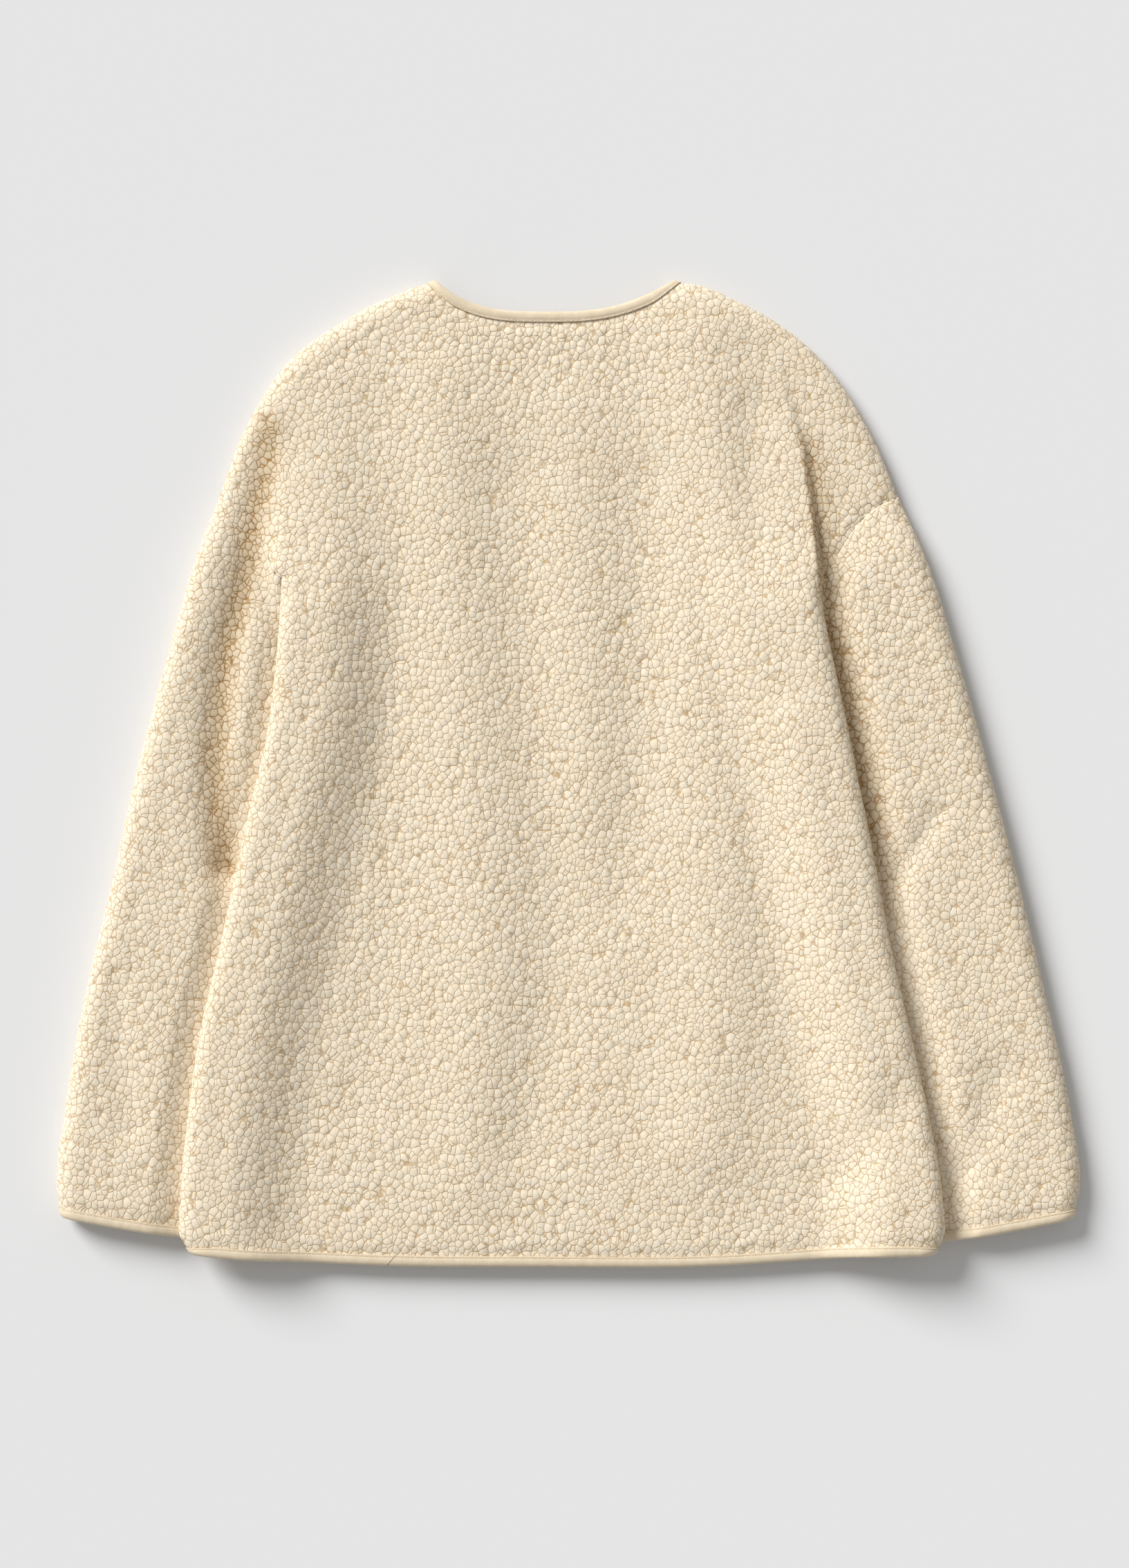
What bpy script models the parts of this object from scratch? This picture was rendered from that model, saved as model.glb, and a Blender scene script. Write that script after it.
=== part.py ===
"""A crew neck top in teddy fleece, lying flat on its front with its back up.

Metres. +X is right and +Y is towards the neck as the top is looked down on, +Z is up, and the top
rests on z = 0. Each cut piece is a wall of cloth with its own thickness. The walls roll over where
back and front meet at a seam or a fold, and a folded strip of binding wraps each raw edge.
"""

from collections import namedtuple

import bmesh
import bpy
import numpy as np

# Cloth, with its pile
CLOTH = 0.0045
PRESSED_CLOTH = 0.0024
PRESSED_DEPTH = 0.0082
FULL_CLOTH_DEPTH = 0.0160
SEAM_GAP = 0.0003
LEAST_HOLLOW = 0.0015

# Binding, a strip folded over the raw edge
BINDING_DEPTH = 0.0072
BINDING_HALF = 0.0026
BINDING_CLEAR = 0.0003
BINDING_LIP = 0.0014
BINDING_RAISE = 0.0004

# Heights above the surface that the top rests on
BODY_HEIGHT = 0.0145
ARMHOLE_HEIGHT = 0.0150
HUMP = {"left": 0.0134, "right": 0.0160}
HUMP_INSET = 0.0480
HUMP_END = 0.0860
LIFT = 0.0139
LIFT_END = 0.0720
LIFT_STARTS = 0.0050
LIFT_FULL = 0.0450
SLEEVE_HIDDEN = 0.0130
SLEEVE_RISE = 0.0062
SLEEVE_RISE_STARTS = {"left": 0.0, "right": 0.0060}
SLEEVE_RISE_WIDTH = 0.0240

# Rolled edges, as the plan width of the roll
SIDE_ROLL = 0.0120
RIDGE_ROLL = 0.0140

# Where the seams meet, in plan
UNDERARM = {"left": (-0.2030, 0.1380), "right": (0.1765, 0.1380)}
SHOULDER_POINT = {"left": (-0.2477, 0.1980), "right": (0.2340, 0.1962)}
NECK_POINT = {"left": (-0.0945, 0.3492), "right": (0.0735, 0.3492)}
OUTWARD = {"left": -1.0, "right": 1.0}

# Neckline: height of its middle and how it rises to the neck points
NECK_MIDDLE_X = -0.0113
NECK_HALF_WIDTH = 0.0840
NECK_POWER = {"left": 3.5, "right": 2.6}
BACK_NECK_Y = 0.3262
FRONT_NECK_Y = 0.2640
FRONT_NECK_POWER = 2.2

Span = namedtuple("Span", "y left right")
Point = namedtuple("Point", "x y")
Bulge = namedtuple("Bulge", "along out")
Pair = namedtuple("Pair", "left_x left_y right_x right_y")
Hump = namedtuple("Hump", "above_underarm share")
Fold = namedtuple("Fold", "name height half_width path")

# Side seams of the body, from the hem up to the underarm
SIDE_SEAM = [
    Span(-0.3395, -0.2659, 0.2580),
    Span(-0.3300, -0.2735, 0.2640),
    Span(-0.3000, -0.2745, 0.2640),
    Span(-0.2500, -0.2702, 0.2560),
    Span(-0.1900, -0.2619, 0.2430),
    Span(-0.1200, -0.2462, 0.2270),
    Span(-0.0400, -0.2291, 0.2120),
    Span(0.0400, -0.2114, 0.1955),
    Span(0.1150, -0.2043, 0.1801),
]

# The soft step that carries the side edge on above the underarm
BODY_FOLD = [
    Span(0.1780, -0.2015, 0.1717),
    Span(0.2290, -0.1990, 0.1650),
    Span(0.2490, -0.1980, 0.1580),
    Span(0.2900, -0.1950, 0.1470),
]
STEP_WIDTH = {"left": 0.0230, "right": 0.0060}

# How far the armhole seam bows from the straight line between underarm and shoulder point
ARMHOLE = [
    Bulge(0.05, 0.0016),
    Bulge(0.16, 0.0003),
    Bulge(0.31, -0.0028),
    Bulge(0.45, -0.0055),
    Bulge(0.65, -0.0072),
    Bulge(0.82, -0.0057),
]

# Shoulder seams, from the shoulder point up to the neck point
SHOULDER = [
    Span(0.2345, -0.2345, 0.2178),
    Span(0.2737, -0.2134, 0.1953),
    Span(0.2933, -0.1982, 0.1796),
    Span(0.3207, -0.1610, 0.1468),
    Span(0.3364, -0.1316, 0.1174),
    Span(0.3455, -0.1085, 0.0965),
]

# Hem, from the left side seam to the right one, as the raw edge inside the binding
HEM = [
    Point(-0.2080, -0.3441),
    Point(-0.1400, -0.3476),
    Point(-0.0200, -0.3488),
    Point(0.1000, -0.3483),
    Point(0.1650, -0.3443),
    Point(0.2050, -0.3408),
]
FRONT_HEM_DROP = 0.0020
FRONT_HEM_DROP_AT = 0.2380
FRONT_HEM_DROP_WIDTH = 0.0240

# Sleeves: the fold along the outside, the hidden fold as an inset under the body, and the cuff
SLEEVE_OUTER = [
    Span(0.1561, -0.2634, 0.2521),
    Span(0.0777, -0.2864, 0.2771),
    Span(-0.0007, -0.3070, 0.2991),
    Span(-0.0791, -0.3246, 0.3197),
    Span(-0.1575, -0.3432, 0.3383),
    Span(-0.2359, -0.3570, 0.3555),
    Span(-0.2990, -0.3628, 0.3619),
]
SLEEVE_INNER_INSET = [
    Span(0.1180, -0.0015, -0.0015),
    Span(0.0980, -0.0020, -0.0020),
    Span(0.0800, 0.0060, 0.0060),
    Span(0.0600, 0.0240, 0.0260),
    Span(0.0350, 0.0340, 0.0400),
    Span(-0.0500, 0.0380, 0.0420),
    Span(-0.2000, 0.0410, 0.0400),
]
CUFF = [
    Pair(-0.3600, -0.3138, 0.3582, -0.3148),
    Pair(-0.3222, -0.3208, 0.3276, -0.3208),
    Pair(-0.2790, -0.3276, 0.2860, -0.3284),
    Pair(-0.2290, -0.3346, 0.2270, -0.3356),
]

# The body's hump over the hidden sleeve, fading out towards the shoulder
HUMPS = [
    Hump(-0.40, 1.00),
    Hump(-0.02, 1.00),
    Hump(0.00, 0.85),
    Hump(0.03, 0.55),
    Hump(0.06, 0.37),
    Hump(0.11, 0.18),
    Hump(0.162, 0.00),
]

# Soft folds, as ridges and troughs along a path
BODY_FOLDS = [
    Fold("left trough", -0.0015, 0.022, [(-0.1433, 0.254), (-0.1433, 0.117), (-0.1237, -0.0105),
                                         (-0.1335, -0.128), (-0.148, -0.236)]),
    Fold("left ridge", 0.0030, 0.030, [(-0.0894, 0.274), (-0.0796, 0.117), (-0.0674, -0.006),
                                       (-0.060, -0.128), (-0.070, -0.285)]),
    Fold("middle trough", -0.0025, 0.026, [(-0.040, 0.205), (-0.026, 0.058), (-0.011, -0.138),
                                           (-0.031, -0.260)]),
    Fold("middle ridge", 0.0018, 0.028, [(0.004, 0.254), (0.006, 0.107), (0.0135, -0.015)]),
    Fold("right trough", -0.0020, 0.022, [(0.053, 0.205), (0.050, 0.058), (0.038, -0.089)]),
    Fold("right ridge", 0.0045, 0.034, [(0.092, 0.303), (0.099, 0.156), (0.104, 0.009),
                                        (0.107, -0.138), (0.097, -0.260)]),
    Fold("armhole trough", -0.0025, 0.016, [(0.129, 0.254), (0.136, 0.132), (0.151, 0.058)]),
    Fold("hem trough", -0.0025, 0.018, [(0.254, -0.2065), (0.190, -0.285)]),
    Fold("hem corner", 0.0015, 0.026, [(0.212, -0.307), (0.256, -0.307)]),
    Fold("left groove", -0.0030, 0.020, [(-0.2095, 0.228), (-0.2149, 0.206), (-0.2227, 0.169)]),
]
SLEEVE_FOLDS = {
    "left": [
        Fold("groove", -0.0070, 0.014, [(-0.2227, 0.169), (-0.2305, 0.128), (-0.2423, 0.0845),
                                        (-0.2477, 0.034), (-0.2487, -0.015), (-0.2452, -0.064)]),
        Fold("cuff trough", -0.0020, 0.014, [(-0.322, -0.152), (-0.312, -0.250)]),
    ],
    "right": [
        Fold("crease", -0.0025, 0.010, [(0.234, -0.074), (0.2585, -0.030)]),
        Fold("cuff trough", -0.0030, 0.016, [(0.303, -0.216), (0.283, -0.280)]),
    ],
}

# Where the cloth is divided: plan widths of the columns next to a rolled edge, and row spacings
EDGE_COLUMNS = (0.0036, 0.0125, 0.0270)
PANEL_MIDDLE_COLUMNS = 20
SLEEVE_COLUMNS = (0.0, 0.013, 0.045, 0.100, 0.230, 0.365, 0.500, 0.635, 0.770, 0.900, 0.955, 0.987, 1.0)
ARMHOLE_COLUMNS = (0.0, 0.022, 0.070, 0.150, 0.260, 0.380, 0.500, 0.620, 0.740, 0.850, 0.930, 0.978, 1.0)
SIDE_ROWS = 10
UNDERARM_ROWS = (0.045, 0.028, 0.012)
SHOULDER_ROWS = 6
SLEEVE_ROWS = (0.0, 0.022, 0.050, 0.085, 0.115, 0.150, 0.205, 0.27, 0.34, 0.41, 0.48, 0.55, 0.63,
               0.71, 0.79, 0.86, 0.93, 1.0)
HEIGHT_BLEND = 0.080
END_FADE = 0.030
ON_SEAM = 1e-5
UNDERARM_SPREAD = 1.5
UNDERARM_EASE = 0.020
LEAST_HOLLOW_SOFTNESS = 0.001

# Straight pieces that stand for each smooth line in plan
LONG_LINE_PIECES = 160
ARMHOLE_PIECES = 80
CUFF_PIECES = 60
FOLD_PIECES = 40

FLEECE_COLOUR = (0.78, 0.67, 0.50, 1.0)
BINDING_COLOUR = (0.80, 0.70, 0.53, 1.0)


def smooth(x):
    """Smooth step from 0 at x = 0 to 1 at x = 1."""
    x = np.clip(x, 0.0, 1.0)
    return x * x * (3.0 - 2.0 * x)


def lengths_along(points):
    """Distance travelled to each point of a polyline."""
    steps = np.linalg.norm(np.diff(points, axis=0), axis=1)
    return np.concatenate([[0.0], np.cumsum(steps)])


def curve_through(points, pieces=LONG_LINE_PIECES):
    """A smooth curve through the points, as a fine polyline."""
    points = np.asarray(points, float)
    knots = lengths_along(points)
    slopes = np.gradient(points, knots, axis=0)
    u = np.linspace(0.0, knots[-1], pieces + 1)
    k = np.clip(np.searchsorted(knots, u, side="right") - 1, 0, len(knots) - 2)
    step = (knots[k + 1] - knots[k])[:, None]
    s = (u - knots[k])[:, None] / step
    start = points[k] * (1 + 2 * s) * (1 - s) ** 2 + slopes[k] * step * s * (1 - s) ** 2
    end = points[k + 1] * s * s * (3 - 2 * s) + slopes[k + 1] * step * s * s * (s - 1)
    return start + end


def place(curve, shares):
    """Points at the given shares of a curve's length."""
    travelled = lengths_along(curve)
    at = np.asarray(shares, float) * travelled[-1]
    return np.stack([np.interp(at, travelled, curve[:, axis]) for axis in (0, 1)], axis=1)


def nearest(xy, line):
    """Distance of each point to a polyline, and the unit vector from the polyline to the point."""
    start = line[:-1]
    along = line[1:] - start
    to_point = xy[:, None, :] - start[None]
    share = (to_point * along).sum(2) / (along * along).sum(1)
    gap = to_point - np.clip(share, 0.0, 1.0)[..., None] * along
    distance = np.linalg.norm(gap, axis=2)
    k = distance.argmin(axis=1)
    rows = np.arange(len(xy))
    shortest = distance[rows, k]
    return shortest, gap[rows, k] / np.maximum(shortest, 1e-9)[:, None]


def span_points(rows, side):
    """Points of one side of a table of spans."""
    return [(getattr(row, side), row.y) for row in rows]


def side_seam(side):
    """The side seam in plan, from hem to underarm."""
    return curve_through(span_points(SIDE_SEAM, side) + [UNDERARM[side]])


def body_edge(side):
    """The side edge of the body with the soft step above the underarm."""
    return np.concatenate([side_seam(side), np.array(span_points(BODY_FOLD, side))])


def armhole(side):
    """The armhole seam in plan, from the underarm to the shoulder point."""
    start = np.array(UNDERARM[side])
    chord = np.array(SHOULDER_POINT[side]) - start
    across = np.array([chord[1], -chord[0]]) / np.linalg.norm(chord) * OUTWARD[side]
    bowed = [start + chord * row.along + across * row.out for row in ARMHOLE]
    return curve_through([start, *bowed, SHOULDER_POINT[side]], ARMHOLE_PIECES)


def shoulder(side):
    """The shoulder seam in plan, from the shoulder point to the neck point."""
    return curve_through([SHOULDER_POINT[side], *span_points(SHOULDER, side), NECK_POINT[side]])


def neckline(middle_y, powers):
    """A neckline from the left neck point to the right one, deepest near its middle."""
    x = np.linspace(NECK_POINT["left"][0], NECK_POINT["right"][0], LONG_LINE_PIECES + 1)
    u = (x - NECK_MIDDLE_X) / NECK_HALF_WIDTH
    power = np.where(u < 0, powers["left"], powers["right"])
    end_y = NECK_POINT["left"][1]
    rise = np.abs(u) ** power
    left_rise, right_rise = rise[0], rise[-1]
    rise = rise / np.where(u < 0, left_rise, right_rise)
    return np.stack([x, middle_y + (end_y - middle_y) * rise], axis=1)


def hem(front):
    """The raw hem edge from the left side seam to the right one."""
    ends = SIDE_SEAM[0]
    line = curve_through([(ends.left, ends.y), *HEM, (ends.right, ends.y)])
    if front:
        away = (line[:, 0] - FRONT_HEM_DROP_AT) / FRONT_HEM_DROP_WIDTH
        line[:, 1] -= FRONT_HEM_DROP * smooth(1.0 - np.abs(away))
    return line


BODY_EDGES = {side: body_edge(side) for side in OUTWARD}
SIDE_SEAMS = {side: side_seam(side) for side in OUTWARD}
ARMHOLES = {side: armhole(side) for side in OUTWARD}
SHOULDERS = {side: shoulder(side) for side in OUTWARD}
RIDGE = np.concatenate([SHOULDERS["left"], SHOULDERS["right"][::-1]])


def edge_inset(xy, side):
    """How far each point lies inside one side edge of the body, negative beyond it."""
    edge = BODY_EDGES[side]
    return (np.interp(xy[:, 1], edge[:, 1], edge[:, 0]) - xy[:, 0]) * OUTWARD[side]


def folds_at(xy, folds):
    """Height that the soft folds add at each point."""
    total = np.zeros(len(xy))
    for fold in folds:
        distance = nearest(xy, curve_through(fold.path, FOLD_PIECES))[0]
        total += fold.height * np.exp(-((distance / fold.half_width) ** 2))
    return total


def body_heights(xy):
    """Mid-cloth heights of the back and the front at each point."""
    above = xy[:, 1] - UNDERARM["left"][1]
    insets = np.stack([edge_inset(xy, side) for side in OUTWARD])
    widths = np.array([STEP_WIDTH[side] for side in OUTWARD])[:, None]
    humps = np.array([HUMP[side] for side in OUTWARD])[:, None]
    inside = smooth((HUMP_END - insets) / (HUMP_END - HUMP_INSET))
    outside = smooth(1.0 + np.minimum(insets, 0.0) / widths)
    share = np.interp(above, [row.above_underarm for row in HUMPS], [row.share for row in HUMPS])
    hump = (humps * share * inside * outside).sum(axis=0)
    beyond = smooth(-insets.min(axis=0) / HUMP_INSET)
    ramp = smooth((-LIFT_STARTS - above) / (LIFT_FULL - LIFT_STARTS))
    lift = LIFT * ramp * smooth((LIFT_END - insets.min(axis=0)) / (LIFT_END - HUMP_INSET))
    top = BODY_HEIGHT + (ARMHOLE_HEIGHT - BODY_HEIGHT) * beyond + hump + folds_at(xy, BODY_FOLDS)
    front = lift + CLOTH / 2
    back = top - CLOTH / 2
    lowest = front + CLOTH + LEAST_HOLLOW
    back = (back + lowest + np.sqrt((back - lowest) ** 2 + LEAST_HOLLOW_SOFTNESS**2)) / 2
    return back, front


def sleeve_heights(xy, side):
    """Mid-cloth heights of a sleeve's upper and lower layer at each point."""
    beyond = -edge_inset(xy, side) - SLEEVE_RISE_STARTS[side]
    top = SLEEVE_HIDDEN + SLEEVE_RISE * smooth(beyond / SLEEVE_RISE_WIDTH)
    top += folds_at(xy, SLEEVE_FOLDS[side])
    return top - CLOTH / 2, np.full(len(xy), CLOTH / 2)


def rolled(xy, seams):
    """Share of full height at each point, and the plan shift from the outer to the inner face
    for a wall one unit thick, both from the seams where the layers meet."""
    share = np.ones(len(xy))
    shift = np.zeros_like(xy)
    for line, width in seams:
        distance, away = nearest(xy, line)
        s = np.clip(distance / width, 0.0, 1.0)
        share *= np.sqrt(1.0 - (1.0 - s) ** 2)
        shift += (1.0 - s)[:, None] * away
    return share, shift


def inset_row(edge, depth, seams):
    """A row that follows an edge at a depth, with its two ends on the seams that leave the edge."""
    along = np.gradient(edge, axis=0)
    along /= np.linalg.norm(along, axis=1)[:, None]
    inward = np.stack([-along[:, 1], along[:, 0]], axis=1)
    row = edge + depth * inward
    travelled = lengths_along(edge)
    for seam, end, away in ((seams[0], 0, travelled), (seams[1], -1, travelled[-1] - travelled)):
        target = place(seam, [depth / lengths_along(seam)[-1]])[0]
        row = row + (target - row[end]) * smooth(1.0 - away / END_FADE)[:, None]
    return row


def coons(bottom, top, left, right, q, t):
    """Points of the surface patch between four plan curves, as rows of columns."""
    q = q[None, :, None]
    t = t[:, None, None]
    ruled = (1 - t) * bottom[None] + t * top[None] + (1 - q) * left[:, None] + q * right[:, None]
    corners = (1 - q) * ((1 - t) * bottom[0] + t * top[0]) + q * ((1 - t) * bottom[-1] + t * top[-1])
    return ruled - corners


def panel_columns():
    """Column places across a panel, close together at its two sides."""
    edge = np.array((0.0, *EDGE_COLUMNS))
    middle = np.linspace(edge[-1], 1.0 - edge[-1], PANEL_MIDDLE_COLUMNS)[1:-1]
    return np.concatenate([edge, middle, 1.0 - edge[::-1]])


def side_rows(side):
    """Inner row ends up one side of a panel: side seam, armhole, then shoulder seam."""
    seam, shoulder_seam = SIDE_SEAMS[side], SHOULDERS[side]
    seam_length = lengths_along(seam)[-1]
    shoulder_length = lengths_along(shoulder_seam)[-1]
    first = FULL_CLOTH_DEPTH / seam_length
    last = 1.0 - FULL_CLOTH_DEPTH / shoulder_length
    near_underarm = [1.0 - reach / seam_length for reach in UNDERARM_ROWS]
    up_seam = [*np.linspace(first, near_underarm[0], SIDE_ROWS), *near_underarm[1:], 1.0]
    up_shoulder = np.linspace(0.0, last, SHOULDER_ROWS + 1)
    return np.concatenate([
        place(seam, up_seam),
        place(ARMHOLES[side][::-1], ARMHOLE_COLUMNS)[-2:0:-1],
        place(shoulder_seam, up_shoulder),
    ])


def panel_plan(front):
    """Plan points of a panel, rows from hem to neck, and how deep each row lies inside a binding."""
    q = panel_columns()
    hem_edge = place(hem(front), q)
    powers = {side: FRONT_NECK_POWER for side in OUTWARD} if front else NECK_POWER
    neck_edge = place(neckline(FRONT_NECK_Y if front else BACK_NECK_Y, powers), q)[::-1]
    sides = (SIDE_SEAMS["left"], SIDE_SEAMS["right"])
    ridges = (SHOULDERS["right"][::-1], SHOULDERS["left"][::-1])
    depths = (0.0, PRESSED_DEPTH, FULL_CLOTH_DEPTH)
    hem_rows = [inset_row(hem_edge, depth, sides) for depth in depths]
    neck_rows = [inset_row(neck_edge, depth, ridges)[::-1] for depth in depths]
    left, right = side_rows("left"), side_rows("right")
    shares = [lengths_along(row_ends) / lengths_along(row_ends)[-1] for row_ends in (left, right)]
    t = (shares[0] + shares[1]) / 2
    middle = coons(hem_rows[-1], neck_rows[-1], left, right, q, t)
    plan = np.concatenate([np.array(hem_rows[:-1]), middle, np.array(neck_rows[-2::-1])])
    inner = np.full(len(middle), FULL_CLOTH_DEPTH)
    return plan, np.concatenate([depths[:-1], inner, depths[-2::-1]])


def wall_thickness(depth):
    """Cloth thickness at a depth from a bound edge: pressed inside the binding, then full."""
    rise = smooth((depth - PRESSED_DEPTH) / (FULL_CLOTH_DEPTH - PRESSED_DEPTH))
    return PRESSED_CLOTH + (CLOTH - PRESSED_CLOTH) * rise


def raised_edge(depth):
    """How far cloth next to the surface is raised so that its binding clears it."""
    return BINDING_RAISE * smooth(1.0 - (depth - PRESSED_DEPTH) / (FULL_CLOTH_DEPTH - PRESSED_DEPTH))


def panel_faces(front):
    """Outer and inner points of the back or the front panel, as grids of rows and columns."""
    plan, depth = panel_plan(front)
    shape = plan.shape[:2]
    xy = plan.reshape(-1, 2)
    level = np.concatenate([plan[1:2], plan[1:-1], plan[-2:-1]]).reshape(-1, 2)
    depth = np.repeat(depth, shape[1])
    seams = [(SIDE_SEAMS["left"], SIDE_ROLL), (SIDE_SEAMS["right"], SIDE_ROLL), (RIDGE, RIDGE_ROLL)]
    share, shift = rolled(level, seams)
    shift = pinned_shift(level, shift)
    back, lower = body_heights(level)
    lower = lower + raised_edge(depth)
    meeting = (back + lower) / 2
    height = lower if front else back
    half = (-1.0 if front else 1.0) * wall_thickness(depth) / 2
    base = meeting - (SEAM_GAP * (1.0 - share) if front else 0.0)
    outer = np.column_stack([xy, base + (height + half - meeting) * share])
    inner = np.column_stack([
        xy + shift * wall_thickness(depth)[:, None], base + (height - half - meeting) * share,
    ])
    return outer.reshape(*shape, 3), inner.reshape(*shape, 3)


def pinned_shift(xy, shift):
    """Gives points that lie on a seam itself the direction into the cloth."""
    middle = np.array([NECK_MIDDLE_X, 0.0])
    for side in OUTWARD:
        for line in (SIDE_SEAMS[side], SHOULDERS[side]):
            on = nearest(xy, line)[0] < ON_SEAM
            shift[on] = across_towards(xy[on], line, middle)
    return shift


def across_towards(xy, line, target):
    """Unit direction square to a polyline at each point of it, on the side of the target."""
    tangent = tangents_at(xy, line)
    across = np.stack([-tangent[:, 1], tangent[:, 0]], axis=1)
    return across * np.sign(((target - xy) * across).sum(axis=1))[:, None]


def tangents_at(xy, line):
    """Unit direction of a polyline at the place nearest to each point."""
    middles = (line[1:] + line[:-1]) / 2
    k = np.linalg.norm(xy[:, None] - middles[None], axis=2).argmin(axis=1)
    along = line[k + 1] - line[k]
    return along / np.linalg.norm(along, axis=1)[:, None]


def inner_fold(side):
    """The fold of a sleeve that goes down beside the body and then under it."""
    edge = BODY_EDGES[side]
    points = [UNDERARM[side]]
    for row in SLEEVE_INNER_INSET:
        x = np.interp(row.y, edge[:, 1], edge[:, 0])
        points.append((x - OUTWARD[side] * getattr(row, side), row.y))
    last = CUFF[-1]
    points.append((getattr(last, side + "_x"), getattr(last, side + "_y")))
    return curve_through(points)


def outer_fold(side):
    """The fold along the outside of a sleeve, from the shoulder point to the cuff."""
    first = CUFF[0]
    corner = (getattr(first, side + "_x"), getattr(first, side + "_y"))
    return curve_through([SHOULDER_POINT[side], *span_points(SLEEVE_OUTER, side), corner])


def cuff_line(side):
    """The raw cuff edge, from the outer fold to the hidden one."""
    corners = [(getattr(row, side + "_x"), getattr(row, side + "_y")) for row in CUFF]
    return curve_through(corners, CUFF_PIECES)


def sleeve_faces(side):
    """Outer and inner rings of a sleeve, from the armhole to the cuff."""
    w = np.array(SLEEVE_COLUMNS)
    outside, inside, cuff = outer_fold(side), inner_fold(side), cuff_line(side)
    hole = ARMHOLES[side][::-1]
    rows = np.array(SLEEVE_ROWS)
    middle_end = 1.0 - FULL_CLOTH_DEPTH / lengths_along(outside)[-1]
    left, right = place(outside, rows * middle_end), place(inside, rows * middle_end)
    depths = (0.0, PRESSED_DEPTH, FULL_CLOTH_DEPTH)
    edge = place(cuff, w)
    cuffs = [cuff_row(edge, d, (outside[::-1], inside[::-1]), side) for d in depths]
    plan = coons(place(hole, ARMHOLE_COLUMNS), cuffs[-1], left, right, w, rows)
    plan = np.concatenate([plan, np.array(cuffs[-2::-1])])
    depth = np.concatenate([np.full(len(rows), FULL_CLOTH_DEPTH), depths[-2::-1]])
    return ring_faces(plan, depth, side, np.concatenate([rows, [1.0, 1.0]]), (outside, inside))


def cuff_row(edge, depth, seams, side):
    """A row that follows the cuff at a depth up the sleeve."""
    if side == "left":
        return inset_row(edge, depth, seams)
    return inset_row(edge[::-1], depth, seams[::-1])[::-1]


def ring_faces(plan, depth, side, rows, folds):
    """Closed rings of outer and inner points: the upper layer out and the lower layer back."""
    shape = plan.shape[:2]
    xy = plan.reshape(-1, 2)
    depth = np.repeat(depth, shape[1])
    level_plan = np.concatenate([plan[:-1], plan[-2:-1]])
    level = level_plan.reshape(-1, 2)
    share, shift = rolled(level, [(folds[0], RIDGE_ROLL), (folds[1], SIDE_ROLL)])
    start_share, start_shift = rolled(plan[0], [(SIDE_SEAMS[side], SIDE_ROLL), (RIDGE, RIDGE_ROLL)])
    start_shift = pinned_shift(plan[0], start_shift)
    blend = smooth(np.repeat(rows, shape[1]) / HEIGHT_BLEND)
    column = np.tile(np.arange(shape[1]), shape[0])
    share = start_share[column] * (1 - blend) + share * blend
    for fold, edge in zip(folds, (0, shape[1] - 1)):
        on = column == edge
        shift[on] = across_towards(level[on], fold, level_plan[:, shape[1] // 2])
    start_shift[-1] = shift[shape[1] - 1]
    shift = start_shift[column] * (1 - blend)[:, None] + shift * blend[:, None]
    upper, lower = sleeve_heights(level, side)
    start_upper, start_lower = body_heights(plan[0])
    upper = start_upper[column] * (1 - blend) + upper * blend
    lower = start_lower[column] * (1 - blend) + lower * blend + raised_edge(depth)
    meeting = (upper + lower) / 2
    thick = wall_thickness(depth)
    rings = []
    for half in (0.5, -0.5):
        layer_xy = xy if half > 0 else xy + shift * thick[:, None]
        top = meeting + (upper + half * thick - meeting) * share
        bottom = meeting + (lower - half * thick - meeting) * share
        top = np.column_stack([layer_xy, top]).reshape(*shape, 3)
        bottom = np.column_stack([layer_xy, bottom]).reshape(*shape, 3)
        rings.append(np.concatenate([top, bottom[:, -2:0:-1]], axis=1))
    return parted(rings[0], plan, side), parted(rings[1], plan, side)


def parted(ring, plan, side):
    """Moves a sleeve's first ring off the armhole seam by the seam gap, wider at the underarm."""
    along = np.gradient(plan[0], axis=0)
    along /= np.linalg.norm(along, axis=1)[:, None]
    away = np.stack([-along[:, 1], along[:, 0]], axis=1)
    away *= np.sign((away * (plan[1] - plan[0])).sum(axis=1))[:, None]
    away[-1, 0] += OUTWARD[side] * UNDERARM_SPREAD
    from_underarm = np.linalg.norm(plan[0] - plan[0, -1], axis=1)
    away *= 1.0 + smooth(1.0 - from_underarm / UNDERARM_EASE)[:, None]
    full = np.concatenate([away, away[-2:0:-1]])
    ring = ring.copy()
    ring[0, :, :2] += SEAM_GAP * full
    return ring


def wall(name, outer, inner, closed):
    """A wall of cloth between an outer and an inner grid of points, with its rims."""
    rows, columns = outer.shape[:2]
    builder = bmesh.new()
    out = [[builder.verts.new(point) for point in row] for row in outer]
    inn = [[builder.verts.new(point) for point in row] for row in inner]
    for c in range(columns if closed else columns - 1):
        d = (c + 1) % columns
        for r in range(rows - 1):
            patch(builder, out[r][c], out[r][d], out[r + 1][d], out[r + 1][c])
            patch(builder, inn[r][c], inn[r + 1][c], inn[r + 1][d], inn[r][d])
        if closed and c >= columns // 2:
            patch(builder, out[0][c], inn[0][c], inn[0][d], out[0][d])
        else:
            patch(builder, inn[0][c], inn[0][d], out[0][d], out[0][c])
        patch(builder, out[-1][c], out[-1][d], inn[-1][d], inn[-1][c])
    for r in range(rows - 1 if not closed else 0):
        patch(builder, out[r][0], out[r + 1][0], inn[r + 1][0], inn[r][0])
        patch(builder, out[r][-1], inn[r][-1], inn[r + 1][-1], out[r + 1][-1])
    return piece_from(name, builder)


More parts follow.
